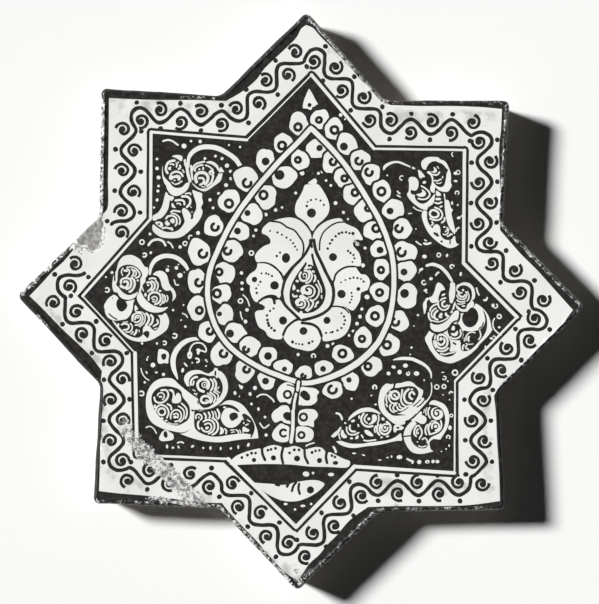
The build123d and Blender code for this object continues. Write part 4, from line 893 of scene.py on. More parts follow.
# The large palmette inside the teardrop: seven petals and a lobe round a small teardrop.
centralPalmette = {
    "top lobe": [
        (patch, 305, 185, 311, 184.3, 317, 184, 321, 187.5, 325, 194, 328, 200, 329.5, 207, 328, 214,
         323, 220, 317, 225, 312.5, 231, 308, 225, 303, 220, 297, 216, 295, 211, 296, 203, 300, 196,
         303, 190), (patch, 308, 183.5, 311, 180.5, 315, 178.5, 317, 181, 315.5, 184),
        (inkDots, (307.8, 202, 1), (311, 200, 1.2), (316, 199.3, 1), (320.5, 200.5, 1.1),
         (323.8, 204.8, 1.1), (306.8, 206, 1.3), (311.5, 213, 4.6)),
    ],
    "upper left petal": [
        (patch, 262, 233, 263, 228, 268, 223, 274, 220.5, 282, 218.3, 291, 217.5, 299, 220, 305, 225,
         310, 232, 311.5, 239, 309, 247, 303, 255, 296, 262, 290, 268, 284, 275.5, 282, 273, 275, 266,
         268, 262.5, 259, 262.5, 256, 261, 255, 256, 258, 251, 264, 246, 270, 243.5, 270, 239, 267, 235.5),
        (inkLine, 1.8, 270, 221, 280, 222.5, 287, 227, 294, 230, 299, 236, 303, 243, 303.5, 250,
         (302, 257, 1.2)),
        (inkDots, (270, 231, 1), (277.5, 232.5, 1.2), (282, 234.8, 1.1), (286.5, 237.5, 1.1),
         (290.5, 240, 1), (293.2, 243.2, 1.1), (295, 246.5, 1.1), (297, 249.7, 1), (280, 252.5, 1.2),
         (276.8, 256, 1.3), (286, 258, 4.2, 5)),
    ],
    "upper right petal": [
        (patch, 312.5, 240, 314, 233, 319, 226.5, 326, 221.5, 334, 218.8, 341, 218.5, 344, 222.5,
         350, 225.5, 357, 229, 361, 235, 362.5, 240, 354.5, 240, 353, 244, 355, 248, 359, 253, 361, 260,
         360, 266, 352, 265.5, 345, 267, 338, 271, 333.5, 281, 328, 273.5, 322.5, 262, 317.5, 251,
         314.5, 243), (inkLine, 1.6, 343, 222, 336, 223, 329, 227, 323, 233, 320, 241, 319.5, 250),
        (inkDots, (327.8, 248.5, 1.3), (330, 243.5, 1.3), (332, 240, 1.4), (335.8, 236.5, 1.3),
         (339, 233.7, 1.4), (342, 232.5, 1.4), (346, 232, 1.3), (349.5, 233, 1.2), (353, 233.5, 1.7),
         (348, 251, 1.2), (350.5, 253, 1.3), (353.5, 255, 1.2), (354.5, 258.3, 1.1), (352.5, 262, 1),
         (333, 257, 4), (357.5, 244, 4.5)), (dots, (357.5, 244, 1.8)),
    ],
    "left petal": [
        (patch, 258, 263, 265, 262.3, 272, 265, 279, 270.5, 283.5, 277, 282, 285, 281.5, 293, 279, 298,
         275, 295, 268, 296, 262, 300, 256, 302, 252.5, 298, 250, 291, 250, 286, 247, 283, 246.5, 279,
         250, 274, 255, 270.5, 257, 267),
        (inkDots, (254.5, 279.5, 2.8), (274.5, 285.5, 4.3), (261.5, 273.5, 1), (266, 273.5, 1.1),
         (268.5, 274.5, 1.1), (272, 276, 1.2), (260.5, 282, 1.2), (258.3, 285, 0.8), (256.2, 288.5, 1.1),
         (256.8, 293, 1.3)),
        (inkLine, 1.8, (258, 262.8, 1.2), 266, 262.8, 274, 266.8, 280.5, 273, 284, 281),
    ],
    "right petal": [
        (patch, 334, 282, 336, 275, 341, 269.5, 347, 266.5, 355, 267, 358, 270.5, 361, 274, 366, 275,
         370, 281, 368, 289, 365, 291, 361, 293, 360, 300, 357, 306, 353, 310.5, 349, 309, 344, 306.5,
         337, 306, 332, 306, 334.5, 298, 335, 290),
        (inkDots, (341.5, 294, 4.2), (358.5, 289, 2), (341, 282.5, 0.9), (345.5, 280, 1), (350, 278.5, 1.2),
         (353.5, 277.5, 1.2), (357.5, 278, 1.2), (361, 279, 1), (363.8, 281.5, 1.2), (351.5, 293, 1.1),
         (352, 296.5, 1), (351.5, 299.5, 1), (350, 302.5, 1.1)),
        (inkLine, 2, 334, 281, 335.5, 275, 340, 270, 347, 266.8, (355, 266.6, 1.4)),
    ],
    "lower left petal": [
        (patch, 259, 303, 263, 300, 269, 298, 275, 300, 280, 300, 284, 306, 290, 312, 296, 316.5,
         300, 317.5, 294, 321, 289, 326, 285, 331, 283, 336, 281, 339, 274, 339, 268, 336, 265, 331,
         259, 327, 256, 320, 255, 313, 258, 310.5, 263, 310, 265, 307, 262, 304.5),
        (inkLine, 2, 259, 301, 265, 297, 272, 295.5, 277, 298),
        (inkLine, 3, 272, 296, 274, 300, 274.5, 303),
        (inkDots, (273.5, 308.5, 1.2), (270, 311, 1.2), (267, 315.5, 1.3), (267.3, 320, 1.4),
         (268, 323, 1.5), (269, 325.5, 1.5), (271.5, 328, 1.4), (274.5, 330.5, 1.5), (283, 320.5, 4.2)),
    ],
    "lower right petal": [
        (patch, 312, 317, 322, 313, 329, 308.5, 332, 306.5, 340, 306, 347, 309, 350.5, 315, 350.5, 323,
         347, 332, 341, 337.5, 333, 340, 323.5, 341, 322, 334, 319, 328, 312, 323.5, 302, 321.5),
        (inkDots, (327, 320.5, 3.6), (341.5, 313, 1), (344, 316.5, 1.2), (345, 320.3, 1.2), (344, 324, 1.2),
         (341.5, 328, 1.2), (337.5, 330.5, 1.3), (332.5, 332, 1.3), (330.5, 332.5, 1), (326, 333, 1.2)),
        (inkLine, 1.7, 331.5, 306.5, 339, 306.4, 345, 308.8, (349, 313, 1.2)),
    ],
    "bottom petal": [
        (patch, 301, 321, 307, 324.5, 314, 326, 319, 330, 321, 337, 319, 344, 314, 349.5, 308, 351,
         301, 349.5, 292, 347, 286, 342, 283.5, 336, 286, 329, 291, 324, 297, 321),
        (inkDots, (303.5, 331, 4), (292.5, 342, 1.6), (296, 343.5, 1), (299, 344, 1), (302.5, 344.3, 1.2),
         (309, 343, 1.4), (312.3, 341.5, 1.3)), (inkLine, 2.5, 301, 318, 294, 321, 287, 327, 283, 335),
        (inkLine, 2.8, 302, 323, 311, 324, 318, 328, 321.5, 336),
    ],
    "small teardrop": [
        (patch, (312.5, 242, 1), 318, 253, 323.5, 265, 329, 277, 332, 285, 333, 293, 331.5, 303.5, 328, 309,
         318, 315.8, 304, 319, 299, 318, 291, 311, 285, 303.5, 283, 294, 284, 286, 289, 273.5, 297, 264,
         305, 254.5, 309.5, 247),
        (inkLine, 2.8, 310.5, 240, 309.5, 246, 302.5, 257.5, 293.5, 267, 286.5, 277.5, 283.2, 286,
         282.2, 294, 284, 302.5, 288, 308, 292.5, 312.5, 299.5, 319),
        (inkLine, 3.2, 314, 240, 316, 251, 321, 262, 326.5, 273.5, 332, 284.5, 333.6, 291, 333.4, 297.5,
         332, 303.5, 329, 309, 323, 313.5, 316.5, 316.5, 309.5, 318.5, 303, 320),
        (inkLine, 2.2, 311, 240, 312, 247.3),
        (inkPatch, 305.7, 262, 306.8, 263.5, 305.5, 266.5, 304, 269, 308, 268.8, 312.3, 267.5, 313, 264.5,
         311.2, 256, 311.5, 253.6, 313.2, 253.8, 314, 258, 316, 264, 319, 271.5, 322, 279, 324.8, 286.5,
         325.8, 292.5, 324.8, 299, 322.3, 304.5, 317.5, 309.5, 311.5, 312.5, 303.5, 313.5, 302.3, 311.5,
         300.3, 311, 299.5, 312.8, 297.5, 312, 293.5, 308.5, 290.7, 304, 289.5, 298, 289.8, 291, 291.7, 284,
         295.3, 277, 299.5, 270.5, 304, 264.5), (inkDots, (309, 265.8, 1.3)),
        (inkLine, 1.6, 309.3, 265.2, 311.5, 266, 312.8, 268, 311.5, 270),
    ],
    "upper curl": [
        (line, 2, 301, 272.2, 299.6, 275.5, 300.6, 279.4, 303.8, 281, 307.3, 279.8, 309.3, 276.5,
         309, 272.8, 307, 270.6, 304.5, 270.4),
        (line, 1.2, 303, 275, 304.3, 273.2, 306, 273.8, 306.8, 276, 306, 278.2),
        (dots, (303.8, 277, 0.9, 0.6)),
        (line, 1.6, 309.6, 270.6, 311.7, 274, 311.7, 278, 309.6, 281.6, 306, 283.2),
        (dots, (313.2, 271.6, 1.6, 1.1, 20)), (line, 1.9, 314.6, 275.4, 315.5, 278.5, 314, 281.6),
        (line, 1.4, 318, 280.6, 319, 283.2), (dots, (297.2, 281, 1.7, 1.2, 10)),
        (patch, 293.3, 284.5, 295, 286, 295.5, 289, 292.5, 290),
    ],
    "middle curl": [
        (patch, 300.5, 290.5, 301.8, 287, 305, 285.2, 309, 284.6, 312.8, 286, 315.3, 289.3, 315.3, 293.3,
         313, 296.5, 309.5, 297.8, 307.5, 296.5, 305, 294.8, 302, 294),
        (inkLine, 1.7, (307.5, 290.5, 2.6), 305.8, 289.4, 307.2, 287.3, 310, 287, 312.7, 289.3,
         312.8, 292.8, 310.6, 295.3, 307.5, 295.8, 304.5, 294.8),
        (line, 1.5, 316, 284.6, 318.6, 288.5, 318.7, 294, 316.4, 298, 313, 300.2),
        (line, 1.5, 319.2, 284, 321, 288, 321.4, 292), (line, 1.3, 321.6, 295.6, 321.7, 298.4),
        (dots, (298, 290.8, 1.5, 1.2, 20)),
        (patch, 292, 295, 293, 293.5, 294.3, 295.5, 297, 295, 297.5, 297, 293.5, 297.3),
        (patch, 299, 296.5, 302, 294.5, 306, 297, 309, 298.5, 306, 299.5, 301, 298.5),
    ],
    "lower curl": [
        (patch, 295, 302.5, 296, 300, 298.5, 298.5, 301.5, 298.3, 304.5, 300, 306, 303, 305.5, 306.2,
         303.5, 308.2, 301.2, 308.6, 299.5, 307.8, 297, 306.2),
        (inkLine, 1.4, (299.5, 303.3, 2), 300.7, 301.8, 303, 302.4, 303.7, 304.6, 302, 306.4, 298.5, 306.6),
        (line, 1.5, 306.8, 299.8, 308.8, 303, 308.2, 307, 305.5, 309.8),
        (line, 2, 310.5, 299.8, 312.8, 302.2, 312.3, 305.5, 310, 308.8, 307.2, 310.8),
        (patch, 316, 302.3, 318.5, 301, 318.8, 303, 316.8, 304.5, 316.5, 306.5, 314, 307.8, 315.3, 304.8),
    ],
}
apexLeaf = {
    "leaf": [
        (patch, (309, 88.5, 1), 306, 95, 303.5, 102, 303, 108, 307, 108.5, 310.5, 110, 313, 108, 318, 105,
         315, 99, 312, 93), (inkDots, (309.5, 105, 2.2)), (inkLine, 1.5, 312.5, 108, 315, 107, 317.5, 105),
    ],
}
# The stem under the teardrop, with three leaves on each side, stands on the bank of the pond.
stem = {
    "stalk": [
        (inkLine, 7, 298.5, 382, 297, 392, 294, 408, 293, 425, 291, 442), (line, 3, 298.5, 382, 297.5, 390),
        (line, 2.5, 296, 394, 294.5, 402, 293.5, 410), (line, 3.3, 293, 411, 293, 425, 292, 435, 291, 442),
    ],
    "left leaves": [
        (patch, 277, 392, 279, 387, 284, 383, 289, 382.5, 294, 385.5, 294, 391, 292, 397, 290, 404,
         286, 402, 280, 402, 277, 397), (ring, dark, 287.5, 394.5, 3.5),
        (inkLine, 1.4, 287, 385, 291, 385.5, 295, 387.5),
        (patch, 282, 405.5, 288, 406, 290, 412, 286, 412, 283, 415, 286, 420, 290, 421, 290, 424,
         284, 422.5, 281, 420.5, 275, 422.5, 271.5, 417, 273, 412, 278, 408), (inkDots, (286.5, 416, 3.3)),
        (patch, 281, 423.5, 285, 425, 289, 427, 289, 432, 288, 441, 280, 442, 274, 439.5, 272, 435,
         274, 430, 277, 426.5), (hook, dark, 283.5, 433, 3.5, 0),
    ],
    "right leaves": [
        (patch, 301, 387, 308, 387.5, 315, 388.5, 319, 392, 317, 395.5, 317, 401, 312, 405, 305, 405.5,
         299, 405, 299, 399, 300, 392),
        (inkPatch, 300, 395, 302, 391, 306, 391, 310, 395.5, 309.5, 400, 306, 400.5, 303.5, 399),
        (patch, 299, 412, 303, 409.5, 309, 409, 315, 410, 318, 415, 316, 419, 314, 421, 313.5, 427,
         308, 425.5, 301, 425.5, 298, 421), (ring, dark, 303.5, 417, 3.5),
        (inkDots, (301, 407, 2), (307, 407.5, 1.5)),
        (patch, 297, 427, 304, 426.5, 310, 428, 313.5, 432, 313, 438, 309, 441.5, 301, 442, 296, 441.5,
         296, 433), (ring, dark, 301.5, 435, 3),
    ],
}
pond = {
    "bank": [
        (patch, 231, 465, 231, 461, 236, 456, 244, 452.5, 252, 450, 259, 448.5, 262, 449, 266, 447,
         273, 445, 279, 446, 283, 447.5, 288, 447.5, 294, 446, 300, 447.5, 304, 450, 309, 448.5, 316, 447,
         322, 448, 326, 452, 331, 452.5, 337, 455.5, 344, 459, 350, 461.5, 347, 467.5, 330, 467, 310, 466.5,
         290, 464.5, 265, 464, 245, 464.5), (inkLine, 2.8, 262, 448, 262.5, 454, 265, 460),
        (inkLine, 2.8, 283, 448, 281.5, 455, 283, 463), (inkLine, 2.8, 304.5, 451, 305, 457, 308, 463),
        (inkLine, 2.8, 327, 451, 326, 457, 327, 463),
        (inkDots, (242, 457.5, 1.5), (247.5, 455, 1.5), (251.5, 453, 1.5), (255.5, 453, 1.4),
         (268, 450.3, 1.4), (271, 449.5, 1.4), (275.5, 448.5, 1.5), (289.5, 453, 1.5), (294.3, 450, 1.5),
         (299, 450, 1.5), (312, 452.5, 1.5), (315.5, 451, 1.4), (319.5, 450.5, 1.4), (332, 455.5, 1.5),
         (335, 457, 1.4), (254, 460, 2.2), (273.5, 458, 2.7), (297, 458.5, 3), (319.5, 460.5, 2.6),
         (335.5, 463, 2.8, 2)), (line, 1.5, 306, 446, 310, 444, 314, 443),
    ],
    "fish": [
        (patch, 252, 483, 262, 483.3, 273, 484, 280, 485, 288, 484.5, 294, 482.5, 300, 481.5, 306, 480.5,
         312, 480, 318, 480.5, 322, 482, 324.5, 484, 322, 488, 316, 493, 309, 497, 300, 500.5, 291, 501.5,
         282, 500.5, 274, 497.5, 266, 493, 260, 488.5), (inkDots, (310.5, 490, 3.6)),
        (inkLine, 2.5, 299, 484, 298.5, 489, 299.8, 494), (inkLine, 2.5, 296, 482.5, 293.5, 486, 292, 491),
        (inkLine, 2.8, 288.5, 483, 287, 486.5), (inkLine, 2.4, 276, 484.5, 279, 485.5),
    ],
}

paintBorder()
for motif in (ground, upperLeftPalmette, middleLeftPalmette, lowerLeftPalmette, upperRightPalmette,
              middleRightPalmette, lowerRightPalmette):
    paintMotif(motif)
paintBeads()
for motif in (centralPalmette, apexLeaf, stem, pond):
    paintMotif(motif)
print("ornament drawn:", len(coats["tones"]), "coats")


# Trees that turn the drawing into flat patches. Both the glaze and its trees work in millimetres here.
def addNode(tree, kind, inputs=None, **settings):
    node = tree.nodes.new(kind)
    for key, value in settings.items():
        setattr(node, key, value)
    for key, value in (inputs or {}).items():
        if isinstance(value, bpy.types.NodeSocket):
            tree.links.new(value, node.inputs[key])
        else:
            node.inputs[key].default_value = value
    return node


def newTree(name, sizes):
    tree = bpy.data.node_groups.new(name, "GeometryNodeTree")
    tree.interface.new_socket("Geometry", in_out="INPUT", socket_type="NodeSocketGeometry")
    for label, value in sizes.items():
        kind = "NodeSocketInt" if isinstance(value, int) else "NodeSocketFloat"
        tree.interface.new_socket(label, in_out="INPUT", socket_type=kind).default_value = value
    tree.interface.new_socket("Material", in_out="INPUT", socket_type="NodeSocketMaterial")
    tree.interface.new_socket("Geometry", in_out="OUTPUT", socket_type="NodeSocketGeometry")
    return tree, addNode(tree, "NodeGroupInput").outputs


def maths(tree, operation, a, b=0.0):
    return addNode(tree, "ShaderNodeMath", {0: a, 1: b}, operation=operation).outputs[0]


def named(tree, name, kind="FLOAT"):
    return addNode(tree, "GeometryNodeInputNamedAttribute", {"Name": name}, data_type=kind).outputs[0]


def endTree(tree, given, *shapes):
    joined = addNode(tree, "GeometryNodeJoinGeometry")
    for shape in shapes:
        tree.links.new(shape, joined.inputs[0])
    real = addNode(tree, "GeometryNodeRealizeInstances", {"Geometry": joined.outputs[0]})
    wobble = addNode(tree, "ShaderNodeTexNoise", {"Scale": given["Wobble Scale"], "Detail": 1.0})
    centred = addNode(tree, "ShaderNodeVectorMath", {0: wobble.outputs["Color"], 1: (0.5, 0.5, 0.5)},
                      operation="SUBTRACT")
    shift = addNode(tree, "ShaderNodeVectorMath", {0: centred.outputs[0], "Scale": given["Wobble"]},
                    operation="SCALE")
    moved = addNode(tree, "GeometryNodeSetPosition", {
        "Geometry": real.outputs[0], "Offset": shift.outputs[0]})
    glazed = addNode(tree, "GeometryNodeSetMaterial", {
        "Geometry": moved.outputs[0], "Material": given["Material"]})
    addNode(tree, "NodeGroupOutput", {"Geometry": glazed.outputs[0]})


def roundEnds(tree, given, curve, width):
    ends = addNode(tree, "GeometryNodeCurveEndpointSelection").outputs[0]
    tip = addNode(tree, "GeometryNodeMeshCircle", {"Vertices": given["Tip Sides"], "Radius": 1.0},
                  fill_type="NGON")
    return addNode(tree, "GeometryNodeInstanceOnPoints", {
        "Points": curve, "Selection": ends, "Instance": tip.outputs[0], "Scale": width}).outputs[0]


def ribbon(tree, curve, width):
    nib = addNode(tree, "GeometryNodeCurvePrimitiveLine",
                  {"Start": (-1, 0, 0), "End": (1, 0, 0)}).outputs[0]
    return addNode(tree, "GeometryNodeCurveToMesh", {
        "Curve": curve, "Profile Curve": nib, "Scale": width}).outputs[0]


def brushTree():  # smooth strokes with round ends, as wide as the drawing says
    tree, given = newTree("brushStrokes", {
        "Resolution": 3, "Tip Sides": 8, "Wobble": 0.3, "Wobble Scale": 0.35})
    width = named(tree, "halfWidth")
    course = addNode(tree, "GeometryNodeMeshToCurve", {"Mesh": given["Geometry"]}).outputs[0]
    smooth = addNode(tree, "GeometryNodeCurveSplineType", {"Curve": course},
                     spline_type="CATMULL_ROM").outputs[0]
    fine = addNode(tree, "GeometryNodeSetSplineResolution", {
        "Geometry": smooth, "Resolution": given["Resolution"]}).outputs[0]
    endTree(tree, given, ribbon(tree, fine, width), roundEnds(tree, given, fine, width))
    return tree


def dabTree():  # round and oval spots of paint
    tree, given = newTree("paintDabs", {"Sides": 16, "Wobble": 0.3, "Wobble Scale": 0.35})
    spot = addNode(tree, "GeometryNodeMeshCircle", {"Vertices": given["Sides"], "Radius": 1.0},
                   fill_type="NGON")
    turn = addNode(tree, "FunctionNodeAxisAngleToRotation",
                   {"Axis": (0, 0, 1), "Angle": named(tree, "turn")})
    spots = addNode(tree, "GeometryNodeInstanceOnPoints", {
        "Points": given["Geometry"], "Instance": spot.outputs[0], "Rotation": turn.outputs[0],
        "Scale": named(tree, "halfSize", "FLOAT_VECTOR")})
    endTree(tree, given, spots.outputs[0])
    return tree


def vineTree():  # a wavy stem along the band, with a curling sprig in each bend and dots beside it
    tree, given = newTree("borderVine", {
        "Half Wave": 7.0, "Swing": 2.0, "Stem Width": 0.45, "Sprig Radius": 2.3, "Dot Radius": 0.7,
        "Coat": 1.0, "Corner Radius": 5.0, "Tip Sides": 8, "Wobble": 0.7, "Wobble Scale": 0.3, "Seed": 1})
    course = addNode(tree, "GeometryNodeMeshToCurve", {"Mesh": given["Geometry"]}).outputs[0]
    rounded = addNode(tree, "GeometryNodeFilletCurve", {
        "Curve": course, "Radius": given["Corner Radius"], "Count": 5}, mode="POLY").outputs[0]
    length = addNode(tree, "GeometryNodeCurveLength", {"Curve": rounded}).outputs[0]
    bends = maths(tree, "ROUND", maths(tree, "DIVIDE", length, given["Half Wave"]))
    even = addNode(tree, "GeometryNodeResampleCurve", {
        "Curve": rounded, "Count": maths(tree, "MULTIPLY", bends, 12.0)}).outputs[0]

    def besideLine(tangent, distance):  # a shift across the line
        side = addNode(tree, "ShaderNodeVectorMath", {0: (0, 0, 1), 1: tangent},
                       operation="CROSS_PRODUCT").outputs[0]
        return addNode(tree, "ShaderNodeVectorMath", {0: side, "Scale": distance},
                       operation="SCALE").outputs[0]

    along = addNode(tree, "GeometryNodeSplineParameter").outputs["Factor"]
    phase = maths(tree, "MULTIPLY", maths(tree, "MULTIPLY", along, bends), math.pi)
    swing = maths(tree, "MULTIPLY", maths(tree, "COSINE", phase), given["Swing"])
    tangent = addNode(tree, "GeometryNodeInputTangent").outputs[0]
    stem = addNode(tree, "GeometryNodeSetPosition", {
        "Geometry": even, "Offset": besideLine(tangent, swing)}).outputs[0]
    shapes = [ribbon(tree, stem, given["Stem Width"]), roundEnds(tree, given, stem, given["Stem Width"])]

    # one bend's sprig: a spiral with a bud at its heart
    heart = maths(tree, "MULTIPLY", given["Sprig Radius"], 0.2)
    spiral = addNode(tree, "GeometryNodeCurveSpiral", {
        "Resolution": 14, "Rotations": 1.3, "Start Radius": heart,
        "End Radius": given["Sprig Radius"], "Height": 0.0}).outputs[0]
    inkWidth = maths(tree, "MULTIPLY", given["Stem Width"], 0.85)
    bud = addNode(tree, "GeometryNodeMeshCircle", {"Vertices": 9, "Radius": given["Dot Radius"]},
                  fill_type="NGON")
    sprig = addNode(tree, "GeometryNodeJoinGeometry")
    for shape in (ribbon(tree, spiral, inkWidth), bud.outputs[0]):
        tree.links.new(shape, sprig.inputs[0])
    places = addNode(tree, "GeometryNodeCurveToPoints", {
        "Curve": rounded, "Count": maths(tree, "ADD", bends, 1.0)}, mode="COUNT")

    def placesBeside(distance):
        shift = besideLine(places.outputs["Tangent"], distance)
        return addNode(tree, "GeometryNodeSetPosition", {
            "Geometry": places.outputs["Points"], "Offset": shift}).outputs[0]

    odd = maths(tree, "MODULO", addNode(tree, "GeometryNodeInputIndex").outputs[0], 2.0)
    flip = maths(tree, "SUBTRACT", 1.0, maths(tree, "MULTIPLY", odd, 2.0))
    apart = addNode(tree, "ShaderNodeSeparateXYZ", {0: places.outputs["Tangent"]})
    heading = maths(tree, "ARCTAN2", apart.outputs[1], apart.outputs[0])
    jitter = addNode(tree, "FunctionNodeRandomValue", {2: -0.5, 3: 0.5, "Seed": given["Seed"]},
                     data_type="FLOAT").outputs[1]
    turn = addNode(tree, "FunctionNodeAxisAngleToRotation", {
        "Axis": (0, 0, 1), "Angle": maths(tree, "ADD", heading, jitter)}).outputs[0]
    size = addNode(tree, "ShaderNodeCombineXYZ", {0: 1.0, 1: flip, 2: 1.0}).outputs[0]
    inBend = maths(tree, "MULTIPLY", flip, maths(tree, "MULTIPLY", given["Swing"], -0.75))
    sprigPlaces = placesBeside(inBend)
    shapes.append(addNode(tree, "GeometryNodeInstanceOnPoints", {
        "Points": sprigPlaces, "Instance": sprig.outputs[0], "Rotation": turn, "Scale": size}).outputs[0])

    # a dot outside each bend
    outside = maths(tree, "MULTIPLY", flip, maths(tree, "MULTIPLY", given["Swing"], 1.75))
    dotPlaces = placesBeside(outside)
    shapes.append(addNode(tree, "GeometryNodeInstanceOnPoints", {
        "Points": dotPlaces, "Instance": bud.outputs[0]}).outputs[0])
    coated = []
    for shape in shapes:
        coated.append(addNode(tree, "GeometryNodeStoreNamedAttribute", {
            "Geometry": addNode(tree, "GeometryNodeRealizeInstances", {"Geometry": shape}).outputs[0],
            "Name": "coat", "Value": given["Coat"]}, data_type="FLOAT", domain="POINT").outputs[0])
    endTree(tree, given, *coated)
    return tree


def runTree(tree, verts, edges, layers, values):
    mesh = bpy.data.meshes.new(tree.name)
    mesh.from_pydata([(x, y, 0) for x, y in verts], edges, [])
    for name, data in layers.items():
        isVector = isinstance(data[0], tuple)
        layer = mesh.attributes.new(name, "FLOAT_VECTOR" if isVector else "FLOAT", "POINT")
        for item, value in zip(layer.data, data):
            setattr(item, "vector" if isVector else "value", value)
    host = bpy.data.objects.new(tree.name, mesh)
    bpy.context.scene.collection.objects.link(host)
    modifier = host.modifiers.new(tree.name, "NODES")
    modifier.node_group = tree
    for item in tree.interface.items_tree:
        if item.in_out == "INPUT" and item.name in values:
            modifier[item.identifier] = values[item.name]
    flat = bpy.data.meshes.new_from_object(host.evaluated_get(bpy.context.evaluated_depsgraph_get()))
    host.modifiers.remove(modifier)
    bpy.data.objects.remove(host)
    return flat


def patchesOf(flat):
    coat = flat.attributes["coat"].data
    patches = []
    for polygon in flat.polygons:
        corners = [flat.vertices[index].co.to_2d() for index in polygon.vertices]
        number = round(coat[polygon.vertices[0]].value)
        if len(corners) == 4:  # a piece of stroke can be twisted, and its halves can't
            patches += [(number, corners[:3]), (number, [corners[0], corners[2], corners[3]])]
        else:
            patches.append((number, corners))
    bpy.data.meshes.remove(flat)
    return patches


def smoothOutline(outline, steps=4):
    count = len(outline)
    smooth = []
    for index in range(count):
        near = [outline[(index + shift) % count] for shift in (-1, 0, 1, 2)]
        before, here, there, after = (Vector(onTile(*point[:2])) for point in near)
        if len(near[1]) > 2:
            before = here
        if len(near[2]) > 2:
            after = there
        straight = len(near[1]) > 2 and len(near[2]) > 2
        for step in range(1 if straight else steps):
            t = step / steps
            smooth.append(0.5 * (2 * here + (there - before) * t
                                 + (2 * before - 5 * here + 4 * there - after) * t ** 2
                                 + (3 * here - before - 3 * there + after) * t ** 3))
    return smooth


def allPatches(material):
    patches = [(number, smoothOutline(outline)) for number, outline in coats["fills"]]

    verts, edges, layers = [], [], {"halfWidth": [], "coat": []}
    for number, points in coats["strokes"]:
        edges += [(len(verts) + step, len(verts) + step + 1) for step in range(len(points) - 1)]
        verts += [onTile(x, y) for x, y, width in points]
        layers["halfWidth"] += [width * photo["pixel"] / 2 for x, y, width in points]
        layers["coat"] += [float(number)] * len(points)
    patches += patchesOf(runTree(brushTree(), verts, edges, layers, {"Material": material}))

    verts, layers = [], {"halfSize": [], "turn": [], "coat": []}
    for number, x, y, across, down, turn in coats["dabs"]:
        verts.append(onTile(x, y))
        layers["halfSize"].append((across * photo["pixel"], down * photo["pixel"], 1.0))
        layers["turn"].append(-turn)
        layers["coat"].append(float(number))
    patches += patchesOf(runTree(dabTree(), verts, [], layers, {"Material": material}))

    path = [onTile(x, y) for x, y in border["vine"]]
    values = {
        "Half Wave": border["halfWave"] * photo["pixel"], "Swing": border["swing"] * photo["pixel"],
        "Stem Width": border["stemWidth"] * photo["pixel"] / 2,
        "Sprig Radius": border["sprigRadius"] * photo["pixel"],
        "Dot Radius": border["dotRadius"] * photo["pixel"], "Coat": float(border["vineCoat"]),
        "Seed": border["seed"], "Material": material}
    patches += patchesOf(runTree(vineTree(), path, [(i, i + 1) for i in range(len(path) - 1)], {}, values))
    return patches


# Wear. Each side of the rim, clockwise from the top point: how far in it is worn, and how much.
wear = {
    "rim": [
        (1.2, 0.5), (1, 0.36), (2, 0.46), (1, 0.47), (1.5, 0.4), (1, 0.3), (1.5, 0.42), (3.5, 0.44),
        (2.5, 0.46), (3, 0.42), (1, 0.25), (1, 0.3), (2.5, 0.46), (2, 0.49), (1, 0.3), (1, 0.32),
    ],
    # rubbed places: from one point to another, half width, and how much
    "rubbed": [
        ((126, 428), (146, 456), 17, 0.5), ((140, 448), (200, 504), 16, 0.54),
        ((296, 565), (300, 588), 12, 0.4), ((296, 165), (312, 175), 9, 0.36),
        ((335, 192), (362, 200), 7, 0.36), ((352, 236), (358, 246), 6, 0.4), ((40, 320), (48, 328), 5, 0.5),
        ((180, 98), (215, 98), 4, 0.4), ((150, 498), (200, 505), 6, 0.5),
    ],
    "plaster": [((97, 224), (83, 238), 9.5, 1.0), ((96, 232), (93, 245), 8, 1.0)],
    # grey stains in the pale band
    "stains": [
        ((115, 106), (230, 106), 14, 0.6), ((330, 50), (345, 62), 8, 0.5), ((395, 112), (400, 128), 7, 0.4),
        ((40, 305), (100, 365), 10, 0.6), ((100, 400), (105, 480), 10, 0.5),
        ((205, 500), (260, 545), 14, 0.5), ((270, 560), (300, 585), 14, 0.7),
        ((400, 118), (490, 118), 13, 0.55), ((487, 395), (487, 480), 11, 0.55),
        ((380, 487), (490, 486), 13, 0.55), ((112, 470), (140, 490), 14, 0.5),
    ],
    "everywhere": 0.08,
    "softness": 1.6,  # how steeply a stroke fades at its edge
}


def strokesAt(strokes, x, y):  # the strongest of some broad soft strokes at a place in the photograph
    strongest = 0.0
    spot = Vector((x, y))
    for start, end, half, amount in strokes:
        along = geometry.intersect_point_line(spot, Vector(start), Vector(end))[1]
        gap = (spot - Vector(start).lerp(Vector(end), min(1.0, max(0.0, along)))).length
        strongest = max(strongest, amount * max(0.0, min(1.0, wear["softness"] * (1 - gap / half))))
    return strongest


def wearAt(x, y, inwards):
    sides = len(wear["rim"])
    side = int((math.degrees(math.atan2(x, y)) % 360) / (360 / sides)) % sides
    reach, amount = wear["rim"][side]
    worn = amount * max(0.0, 1 - inwards / photo["pixel"] / reach / 2)
    return max(worn, strokesAt(wear["rubbed"], *inPhoto(x, y)), wear["everywhere"])


# The tile: a copy of the CAD slab whose flat face is cut up along the painted edges.
tile = {
    "grid": 1.6,  # millimetres between the points of the plain face
    "gridRow": 0.866,  # of that between its rows
    "gridReach": 110,
    "sideStep": 3.0,  # longest edge on the sides and the glaze roll
    "unevenness": 0.12,  # of the hand-pressed face
    "sideUnevenness": 0.22,
    "rubDepth": 0.16,  # where the glaze is worn away
    "flake": (85.5, 235.5),  # the bowl of the lost flake, in pixels
    "flakeRadius": 20.5,
}


def ringOf(edges):  # the edges' vertices in order, once round
    following = {}
    for edge in edges:
        for a, b in (edge.verts, reversed(edge.verts)):
            following.setdefault(a, []).append(b)
    first = edges[0].verts[0]
    loop, last, here = [first], first, following[first][0]
    while here is not first:
        loop.append(here)
        last, here = here, next(v for v in following[here] if v is not last)
    return loop


def isFlat(face, height):
    return all(abs(vert.co.z - height) < 1e-6 for vert in face.verts)


